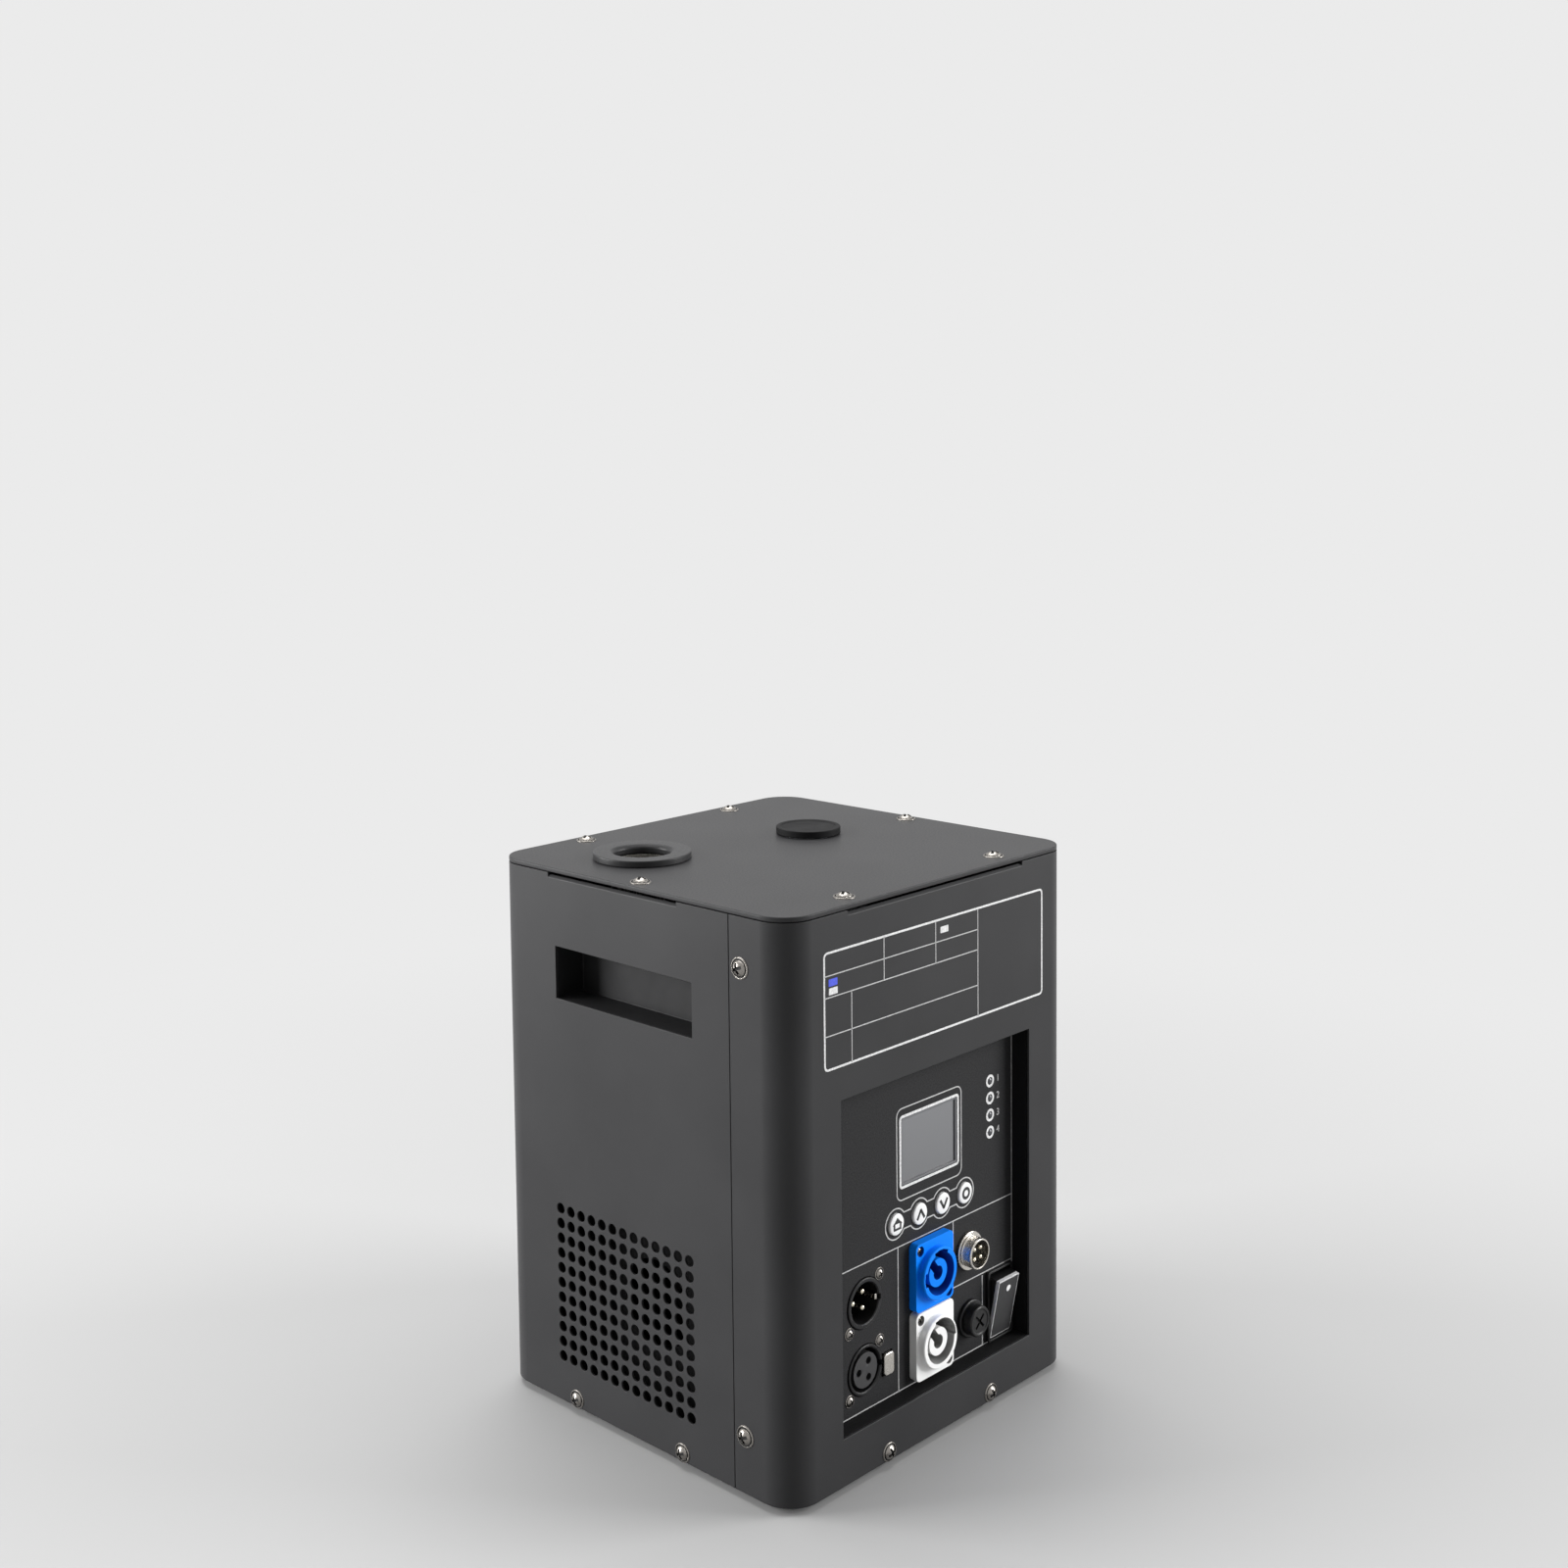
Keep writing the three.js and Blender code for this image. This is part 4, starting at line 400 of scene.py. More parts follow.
# Painted shade: darker copies of the white and blue plastic, for the faces down in the sockets' grooves and
# holes.
WHITE_GROOVE_SHADE = MouldedPlastic("white_groove_painted_shade", "white_plastic", "8e8e8d", 0.6)
BLUE_GROOVE_SHADE = MouldedPlastic("blue_groove_painted_shade", "blue_plastic", "053f9e", 0.6, shine=0.1)
LAMP_PLASTIC = MouldedPlastic("unlit_lamp_lens", "lamp_plastic", "4a4b4f", 0.2, grain=0.8)
SCREEN_GLASS = ScreenGlass("liquid_crystal_screen", "display_glass", "6b6c6f", 0.16)
SCREEN_BEZEL = MouldedPlastic("screen_edge_moulding", "display_glass", "5f6063", 0.4)
NICKEL = PlatedMetal("nickel_plated_steel", "nickel", "c9c5be", 0.22, 1.0)
PIN_NICKEL = PlatedMetal("nickel_contact_pin", "nickel", "e0d9c6", 0.16, 1.0)
SCREW_NICKEL = PlatedMetal("black_nickel_screw", "nickel", "8f8b86", 0.26, 1.0)
# Painted shade: near-black for the screws' cross recesses and the groove round each dome.
SCREW_RECESS_SHADE = MouldedPlastic("screw_recess_shadow", "nickel", "040404", 0.7)
ZINC_STEEL = RolledMetal("zinc_plated_steel", "zinc_steel", "a9abad", 0.4, 1.0)
STAINLESS = RolledMetal("stainless_tube", "stainless", "b4b2ad", 0.3, 1.0)
ALUMINIUM = RolledMetal("mill_aluminium", "aluminium", "b8babd", 0.4, 1.0, lines=(0.05, 1.0, 1.0))
RUBBER = MouldedPlastic("black_moulded_rubber", "rubber", "1c1c1c", 0.85, grain=0.9)
CERAMIC = MouldedPlastic("ceramic_heater_body", "ceramic", "d9d2c4", 0.75, grain=1.2)
BOARD = BoardLaminate("green_circuit_board", "circuit_board", "1f5b3a", 0.45)
FUSE_GLASS = TubeGlass("clear_fuse_glass", "fuse_glass", "e4ebec", 0.05)
WHITE_INK = ScreenPrint("white_screen_print", "white_plastic", "e6e6e6", 0.6)
FINE_INK = ScreenPrint("pale_screen_print", "white_plastic", "c4c4c4", 0.6, worn="a6a6a6")
BLUE_INK = ScreenPrint("blue_screen_print", "blue_plastic", "3d4fd8", 0.6, worn="3445c2")


def arc(centre: Point, radius: float, start: float, end: float, steps: int) -> Outline:
    """Gives points on an arc for an outline to be turned.

    Args:
        centre: The arc's centre, as radius and height.
        radius: The arc's own radius.
        start, end: Angles in degrees from the outward direction, towards the top.
        steps: How many parts the arc has.

    Returns:
        The points, both ends included.
    """
    turns = [math.radians(start + (end - start) * i / steps) for i in range(steps + 1)]
    return [(centre[0] + radius * math.cos(a), centre[1] + radius * math.sin(a)) for a in turns]


def moved(x: float = 0.0, y: float = 0.0, z: float = 0.0) -> Matrix:
    """Gives a shift."""
    return Matrix.Translation((x, y, z))


def spun(turn: float, axis: str = "Z") -> Matrix:
    """Gives a turn in degrees about one of the piece's own axes."""
    return Matrix.Rotation(math.radians(turn), 4, axis)


class Shape:
    """A mesh in millimetres that mesh operators build up."""

    def __init__(self) -> None:
        """Starts with nothing in the mesh."""
        self.mesh = bmesh.new()

    def _since(self, before: set[bmesh.types.BMVert]) -> list[bmesh.types.BMVert]:
        """Gives the vertices that weren't there before."""
        return [v for v in self.mesh.verts if v not in before]

    def _shift(self, verts: list[bmesh.types.BMVert], place: Matrix | None) -> "Shape":
        """Puts new vertices where they belong and returns the shape."""
        if place is not None:
            bmesh.ops.transform(self.mesh, matrix=place, verts=verts)
        return self

    def _round(self, geom: list, radius: float, steps: int, affect: str) -> None:
        """Rounds edges, or the corners of a flat face."""
        options = {"profile": 0.5, "affect": affect, "material": -1}
        bmesh.ops.bevel(self.mesh, geom=geom, offset=radius, segments=steps, **options)

    def block(self, low: tuple, high: tuple, place: Matrix | None = None) -> "Shape":
        """Adds a block between two corners."""
        a, b = Vector(low), Vector(high)
        matrix = Matrix.Translation((a + b) / 2) @ Matrix.Diagonal((*(b - a), 1.0))
        made = bmesh.ops.create_cube(self.mesh, size=1.0, matrix=matrix)["verts"]
        return self._shift(made, place)

    def slab(
        self,
        size: Point,
        low: float,
        high: float,
        radius: float = 0.0,
        steps: int = 6,
        place: Matrix | None = None,
    ) -> "Shape":
        """Adds a plate about z with its upright edges rounded.

        Args:
            size: Width and height of the plate.
            low, high: The plate's underside and face.
            radius: Radius of its upright edges.
            steps: Flats in each of them.
            place: Where the plate goes.

        Returns:
            The shape itself.
        """
        before = set(self.mesh.verts)
        x, y = size[0] / 2, size[1] / 2
        self.block((-x, -y, low), (x, y, high))
        if radius:
            own = set(self._since(before))
            edges = [e for e in self.mesh.edges if e.verts[0] in own]
            upright = [e for e in edges if (e.verts[0].co - e.verts[1].co).xy.length < MERGE]
            self._round(upright, radius, steps, "EDGES")
        return self._shift(self._since(before), place)

    def rod(
        self,
        radius: float,
        low: float,
        high: float,
        sides: int = 48,
        place: Matrix | None = None,
    ) -> "Shape":
        """Adds a round rod along z."""
        made = bmesh.ops.create_cone(
            self.mesh,
            cap_ends=True,
            cap_tris=False,
            segments=sides,
            radius1=radius,
            radius2=radius,
            depth=high - low,
            matrix=Matrix.Translation((0, 0, (low + high) / 2)),
        )["verts"]
        return self._shift(made, place)

    def turned(self, outline: Outline, sides: int = 64, place: Matrix | None = None) -> "Shape":
        """Adds an outline of radius and height turned about z."""
        before = set(self.mesh.verts)
        points = [self.mesh.verts.new((radius, 0, height)) for radius, height in outline]
        edges = [self.mesh.edges.new(pair) for pair in zip(points, points[1:])]
        bmesh.ops.spin(
            self.mesh,
            geom=points + edges,
            cent=(0, 0, 0),
            axis=(0, 0, 1),
            angle=math.tau,
            steps=sides,
            use_merge=True,
        )
        bmesh.ops.remove_doubles(self.mesh, verts=self._since(before), dist=MERGE)
        return self._shift(self._since(before), place)

    def ring(
        self,
        radii: Point,
        low: float,
        high: float,
        sides: int,
        place: Matrix | None = None,
    ) -> "Shape":
        """Adds a ring about z between two radii."""
        inner, outer = radii
        section = [(inner, low), (outer, low), (outer, high), (inner, high), (inner, low)]
        return self.turned(section, sides, place)

    def frame(self, size: Point, line: float, radius: float, low: float, high: float) -> "Shape":
        """Adds a thin rounded outline about z, as a printed frame has.

        Args:
            size: Outer width and height.
            line: Width of the line.
            radius: Outer radius of its corners.
            low, high: Underside and face of the line.

        Returns:
            The shape itself.
        """
        before = set(self.mesh.verts)
        x, y = size[0] / 2, size[1] / 2
        corners = [self.mesh.verts.new((*spot, low)) for spot in ((-x, -y), (x, -y), (x, y), (-x, y))]
        self.mesh.faces.new(corners)
        self._round(corners, radius, 6, "VERTICES")
        own = set(self._since(before))
        inner = [f for f in self.mesh.faces if all(v in own for v in f.verts)]
        options = {"thickness": line, "use_even_offset": True, "use_boundary": True}
        rim = bmesh.ops.inset_region(self.mesh, faces=inner, **options)["faces"]
        bmesh.ops.delete(self.mesh, geom=inner, context="FACES")
        grown = bmesh.ops.extrude_face_region(self.mesh, geom=rim)["geom"]
        lifted = [g for g in grown if isinstance(g, bmesh.types.BMVert)]
        bmesh.ops.translate(self.mesh, vec=(0, 0, high - low), verts=lifted)
        return self

    def shift(self, place: Matrix) -> "Shape":
        """Moves the whole shape."""
        return self._shift(self.mesh.verts[:], place)

    def object(self, name: str) -> Object:
        """Turns the shape into an object in the scene, its faces outwards."""
        bmesh.ops.recalc_face_normals(self.mesh, faces=self.mesh.faces[:])
        data = bpy.data.meshes.new(name)
        self.mesh.to_mesh(data)
        self.mesh.free()
        made = bpy.data.objects.new(name, data)
        bpy.context.scene.collection.objects.link(made)
        return made


def settle(obj: Object) -> None:
    """Applies an object's modifiers to its mesh."""
    graph = bpy.context.evaluated_depsgraph_get()
    data = bpy.data.meshes.new_from_object(obj.evaluated_get(graph))
    old = obj.data
    obj.modifiers.clear()
    obj.data = data
    bpy.data.meshes.remove(old)


@dataclass
class Piece:
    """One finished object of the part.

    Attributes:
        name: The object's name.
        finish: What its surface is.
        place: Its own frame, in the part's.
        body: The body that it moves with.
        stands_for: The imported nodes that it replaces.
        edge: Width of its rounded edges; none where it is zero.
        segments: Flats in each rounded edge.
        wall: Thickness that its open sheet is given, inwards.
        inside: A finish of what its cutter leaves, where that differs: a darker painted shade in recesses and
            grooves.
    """

    name: str
    finish: Finish
    place: Matrix = field(default_factory=Matrix)
    body: str = "case"
    stands_for: tuple[str, ...] = ()
    edge: float = 0.15
    segments: int = 2
    wall: float = 0.0
    inside: Finish | None = None

    def make(self, shape: Shape, cutter: Shape | None = None, crossing: bool = False) -> None:
        """Makes the object from its shape.

        Args:
            shape: The shape in the piece's own frame.
            cutter: What is cut out of it.
            crossing: Whether the solids of the shape or of the cutter cross each other.
        """
        obj = shape.object(self.name)
        obj.data.materials.append(self.finish.material())
        if self.inside:
            obj.data.materials.append(self.inside.material())
        if self.wall:
            skin = obj.modifiers.new("wall", "SOLIDIFY")
            skin.thickness = self.wall
            skin.offset = -1
            skin.use_even_offset = True
        tool = self._cut(obj, cutter, crossing) if cutter else None
        if self.wall or tool:
            settle(obj)
        if tool:
            bpy.data.meshes.remove(tool)
        obj.data.transform(Matrix.Scale(MM, 4) @ self.place)
        self.dress(obj)

    def _cut(self, obj: Object, cutter: Shape, crossing: bool) -> bpy.types.Mesh:
        """Sets up an object's cut and returns the cutter's mesh."""
        tool = cutter.object(f"{self.name}_cutter")
        for face in tool.data.polygons:
            face.material_index = 1 if self.inside else 0
        cut = obj.modifiers.new("cut", "BOOLEAN")
        cut.operation = "DIFFERENCE"
        cut.solver = "EXACT"
        cut.material_mode = "INDEX"
        cut.use_self = crossing
        cut.object = tool
        return tool.data

    def dress(self, obj: Object) -> None:
        """Rounds the object's edges, gives it its finish and lets it ride on its body."""
        obj.data.shade_smooth()
        if not obj.data.materials:
            obj.data.materials.append(self.finish.material())
        if self.edge:
            soft = obj.modifiers.new("edges", "BEVEL")
            soft.width = self.edge * MM
            soft.segments = self.segments
            soft.limit_method = "ANGLE"
            soft.angle_limit = SHARP
            soft.use_clamp_overlap = True
            level = obj.modifiers.new("level", "WEIGHTED_NORMAL")
            level.weight = 80
        else:
            obj.data.set_sharp_from_angle(angle=SHARP)
        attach(obj, self.body)
        if self.stands_for:
            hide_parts(*self.stands_for)
        LOG.info("%s rides on %s", self.name, self.body)


@dataclass
class Case:
    """The coated steel case: bent front cover, side shell, lid, and the cups behind its carrying slots."""

    width: float = 180.0
    depth: float = 168.0
    floor: float = 3.0
    wall_top: float = 228.7
    lid_underside: float = 229.0
    top: float = 231.0
    corner: float = 14.0
    corner_steps: int = 14
    sheet: float = 1.2
    seam: float = -54.3
    seam_gap: float = 0.3
    window: tuple[float, float, float] = (60.35, 22.0, 156.0)
    slot_y: Point = (-33.8, 46.2)
    slot_z: Point = (176.3, 198.3)
    cup_depth: float = 14.0
    cup_wall: float = 1.2
    cup_flange: float = 6.0
    cup_play: float = 0.6
    vent_first: Point = (-30.5, 22.6)
    vent_last: Point = (46.0, 86.5)
    vent_columns: int = 13
    vent_rows: int = 11
    vent_radius: float = 2.3
    vent_sides: int = 20
    groove: float = 1.4
    front_tab: float = 55.5
    rear_tab: float = 53.0
    side_tab: float = 38.0
    side_tab_shift: float = 12.0
    nozzle: Point = (-51.8, 33.5)
    nozzle_hole: float = 16.3
    filler: Point = (31.0, 14.0)
    filler_hole: float = 12.8
    foot: Point = (66.0, 60.0)

    def skin(self, cut_front: bool) -> Shape:
        """Gives the outer skin of the front cover or of the side shell.

        Args:
            cut_front: Whether the part in front of the seam is taken away.

        Returns:
            An open sheet with its bends.
        """
        size = (self.width, self.depth)
        shape = Shape().slab(size, self.floor, self.wall_top, self.corner, self.corner_steps)
        ends = [f for f in shape.mesh.faces if abs(f.normal.z) > 0.9]
        bmesh.ops.delete(shape.mesh, geom=ends, context="FACES")
        bmesh.ops.bisect_plane(
            shape.mesh,
            geom=shape.mesh.verts[:] + shape.mesh.edges[:] + shape.mesh.faces[:],
            plane_co=(0, self.seam + (self.seam_gap if cut_front else 0.0), 0),
            plane_no=(0, 1, 0),
            clear_inner=cut_front,
            clear_outer=not cut_front,
        )
        return shape

    def add_groove(self, cutter: Shape, half: float, facing: Facing, along: float = 0.0) -> None:
        """Adds the cut that a tab's bend leaves at the top of a wall."""
        reach = self.depth / 2 if facing in (Facing.FRONT, Facing.REAR) else self.width / 2
        outward = Matrix(facing.value).transposed() @ Vector((0, 0, reach))
        place = facing.at(outward.x, outward.y, self.wall_top) @ moved(along) @ spun(45, "X")
        cutter.block((-half, -self.groove, -self.groove), (half, self.groove, self.groove), place)

    def cover(self) -> None:
        """Builds the front cover with its window."""
        half, low, high = self.window
        front = -self.depth / 2
        cutter = Shape()
        cutter.block((-half, front - OVERRUN, low), (half, front + self.sheet + OVERRUN, high))
        self.add_groove(cutter, self.front_tab, Facing.FRONT)
        piece = Piece("front_cover_sheet", CASE_COAT, stands_for=("front_cover",), edge=0.22, wall=self.sheet)
        piece.make(self.skin(False), cutter)

    def shell(self) -> None:
        """Builds the side shell with its carrying slots and vents."""
        cutter = Shape()
        half = self.width / 2
        (y0, y1), (z0, z1) = self.slot_y, self.slot_z
        for _, side, facing in SIDES:
            x0, x1 = sorted((side * (half + OVERRUN), side * (half - self.sheet - OVERRUN)))
            cutter.block((x0, y0, z0), (x1, y1, z1))
            self.add_groove(cutter, self.side_tab, facing, self.side_tab_shift * side)
            self.add_vents(cutter, facing, side * half)
        self.add_groove(cutter, self.rear_tab, Facing.REAR)
        looks = {"edge": 0.18, "segments": 1, "wall": self.sheet}
        piece = Piece("side_shell_sheet", CASE_COAT, stands_for=("side_shell",), **looks)
        piece.make(self.skin(True), cutter)

    def add_vents(self, cutter: Shape, facing: Facing, x: float) -> None:
        """Adds the round vent holes of one side."""
        (y0, z0), (y1, z1) = self.vent_first, self.vent_last
        depth = self.sheet + OVERRUN
        for i in range(self.vent_columns):
            for j in range(self.vent_rows):
                y = y0 + (y1 - y0) * i / (self.vent_columns - 1)
                z = z0 + (z1 - z0) * j / (self.vent_rows - 1)
                cutter.rod(self.vent_radius, -depth, OVERRUN, self.vent_sides, facing.at(x, y, z))

    def lid(self) -> None:
        """Builds the lid, with the holes for the nozzle and the filler."""
        size = (self.width, self.depth)
        shape = Shape().slab(size, self.lid_underside, self.top, self.corner, self.corner_steps)
        cutter = Shape()
        for radius, spot in ((self.nozzle_hole, self.nozzle), (self.filler_hole, self.filler)):
            cutter.rod(radius, self.lid_underside - OVERRUN, self.top + OVERRUN, 64, moved(*spot))
        piece = Piece("lid_plate", CASE_COAT, stands_for=("top_plate",), edge=0.45, segments=3)
        piece.make(shape, cutter)

    def cups(self) -> None:
        """Builds the cups behind the carrying slots."""
        (y0, y1), (z0, z1) = self.slot_y, self.slot_z
        length, height = y1 - y0 + self.cup_play, z1 - z0 + self.cup_play
        wall, flange = 2 * self.cup_wall, 2 * self.cup_flange
        reach = self.width / 2 - self.sheet - self.seam_gap
        for word, side, facing in SIDES:
            node = f"handle_cup_{word}"
            place = facing.at(side * reach, (y0 + y1) / 2, (z0 + z1) / 2)
            shape = Shape()
            outer = (length + wall, height + wall)
            shape.slab(outer, -self.cup_depth - self.cup_wall, -self.cup_wall / 2, 1.5)
            shape.slab((length + flange, height + flange), -self.cup_wall, 0.0, 2.0)
            cutter = Shape().slab((length, height), -self.cup_depth, OVERRUN, 0.8)
            piece = Piece(f"{node}_moulding", SOFT_BLACK, place, stands_for=(node,), edge=0.4, segments=3)
            piece.make(shape, cutter, crossing=True)

    def feet(self) -> None:
        """Builds the four rubber feet."""
        outline = [(0.0, -1.4), (4.0, -1.4), (4.0, -3.0), (8.5, -3.0), (10.0, 0.0), (2.5, 0.0), (2.5, 4.0)]
        x, y = self.foot
        for i, spot in enumerate(((-x, -y), (x, -y), (-x, y), (x, y))):
            node = f"foot_{i + 1}"
            piece = Piece(f"{node}_rubber", RUBBER, moved(*spot, self.floor), stands_for=(node,), edge=0.4)
            piece.make(Shape().turned([*outline, (0.0, 4.0)], 48))

    def build(self) -> None:
        """Builds the whole case."""
        self.cover()
        self.shell()
        self.lid()
        self.cups()
        self.feet()


@dataclass
class Screws:
    """The pan head machine screws of the case, with their washers and cross recesses."""

    case: Case
    radius: float = 2.95
    height: float = 2.0
    washer: float = 3.95
    washer_height: float = 0.45
    groove: float = 0.5
    shank: float = 1.9
    recess: Point = (4.1, 1.12)
    recess_depth: float = 1.3
    recess_turn: float = 22.0
    large: float = 1.1
    lid_x: tuple[float, ...] = (-47.5, 47.5, -45.0, 45.0, -83.3, 83.3)
    lid_y: tuple[float, ...] = (-75.2, -75.2, 76.5, 76.5, 1.0, 1.0)
    cover_y: float = -60.0
    cover_z: Point = (209.0, 26.0)
    base_x: Point = (-33.1, 33.1)
    base_y: Point = (37.7, -25.2)
    base_z: float = 6.6

    def head(self, name: str, place: Matrix, node: str = "", scale: float = 1.0) -> None:
        """Builds one screw head.

        Args:
            name: The object's name.
            place: The head's own frame, z out of the case.
            node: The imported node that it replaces, where there is one.
            scale: Size against a case screw.
        """
        rise = self.height - self.washer_height
        radius = (self.radius**2 + rise**2) / (2 * rise)
        centre = self.height - radius
        end = math.degrees(math.asin((self.washer_height - centre) / radius))
        outline = [(abs(r), h) for r, h in arc((0, centre), radius, 90, end, 8)]
        outline += [(self.washer - 0.25, self.washer_height), (self.washer, 0.15), (self.washer, 0.0)]
        shank = [(self.shank, 0.0), (self.shank, -self.shank), (0.0, -self.shank)]
        shape = Shape().turned(outline + (shank if node else [(0.0, 0.0)]), 36)
        # The cross recess and the groove round the dome take the near-black painted shade.
        cutter = Shape()
        for turn in (self.recess_turn, self.recess_turn + 90):
            bottom = self.height - self.recess_depth
            cutter.slab(self.recess, bottom, self.height + OVERRUN, place=spun(turn))
        cutter.ring((self.radius - 0.05, self.radius + self.groove), 0.12, 1.2, 36)
        grown = place @ Matrix.Scale(scale, 4)
        stands_for = (node,) if node else ()
        piece = Piece(name, SCREW_NICKEL, grown, stands_for=stands_for, edge=0.08, inside=SCREW_RECESS_SHADE)
        piece.make(shape, cutter, crossing=True)

    def build(self) -> None:
        """Builds the screws of the lid, the cover and the bottom edge."""
        half_width, half_depth = self.case.width / 2, self.case.depth / 2
        for i, spot in enumerate(zip(self.lid_x, self.lid_y)):
            node = f"lid_screw_{i + 1}"
            self.head(f"{node}_head", moved(*spot, self.case.top), node, self.large)
        for word, side, facing in SIDES:
            for level, z in zip(("upper", "lower"), self.cover_z):
                node = f"cover_screw_{word}_{level}"
                self.head(f"{node}_head", facing.at(side * half_width, self.cover_y, z), node, self.large)
            for i, y in enumerate(self.base_y):
                self.head(f"base_screw_{word}_{i + 1}", facing.at(side * half_width, y, self.base_z))
        for i, x in enumerate(self.base_x):
            self.head(f"base_screw_front_{i + 1}", Facing.FRONT.at(x, -half_depth, self.base_z))
            self.head(f"base_screw_rear_{i + 1}", Facing.REAR.at(x, half_depth, self.base_z))


@dataclass
class TopFittings:
    """The nozzle's collar with the tube under it, and the filler's cap."""

    case: Case
    tube_radii: Point = (12.0, 13.2)
    feed_hole: float = 8.3

    def collar(self) -> None:
        """Builds the collar round the nozzle."""
        outline = [(12.0, 1.6), (13.4, 3.0), (20.8, 3.0), (20.8, 0.0), (16.0, 0.0), (16.0, -8.0)]
        outline += [(13.5, -8.0), (13.5, -1.0), (12.0, -1.0), (12.0, 1.6)]
        place = moved(*self.case.nozzle, self.case.top)
        looks = {"edge": 0.55, "segments": 4}
        piece = Piece("nozzle_collar_ring", COLLAR_COAT, place, stands_for=("nozzle_collar",), **looks)
        piece.make(Shape().turned(outline, 96))

    def tube(self) -> None:
        """Builds the hot tube under the collar, with the hole of the feed tube."""
        low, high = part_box("spark_tube")
        shape = Shape().ring(self.tube_radii, low.z / MM, high.z / MM, 72)
        level = sum(corner.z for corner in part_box("feed_tube")) / 2 / MM
        towards = Vector(self.case.filler) - Vector(self.case.nozzle)
        turn = math.degrees(math.atan2(towards.y, towards.x))
        cutter = Shape().rod(self.feed_hole, 0.0, 16.0, 48, moved(z=level) @ spun(turn) @ spun(90, "Y"))
        place = moved(*self.case.nozzle)
        Piece("spark_tube_wall", STAINLESS, place, stands_for=("spark_tube",), edge=0.1).make(shape, cutter)

    def cap(self) -> None:
        """Builds the filler's cap with its dished face."""
        outline = [(0.0, -12.0), (10.7, -12.0), (10.7, -7.0), (9.8, -7.0), (9.8, -5.0), (10.7, -5.0)]
        outline += [(10.7, 0.3), (14.25, 0.3), (14.25, 3.3), (12.5, 3.3), (12.0, 2.8), (0.0, 2.8)]
        place = moved(*self.case.filler, self.case.top)
        looks = {"edge": 0.45, "segments": 4}
        piece = Piece("fill_cap_moulding", CAP_BLACK, place, "filler_cap", ("fill_cap",), **looks)
        piece.make(Shape().turned(outline, 96))

    def build(self) -> None:
        """Builds everything that stands in the lid."""
        self.collar()
        self.tube()
        self.cap()


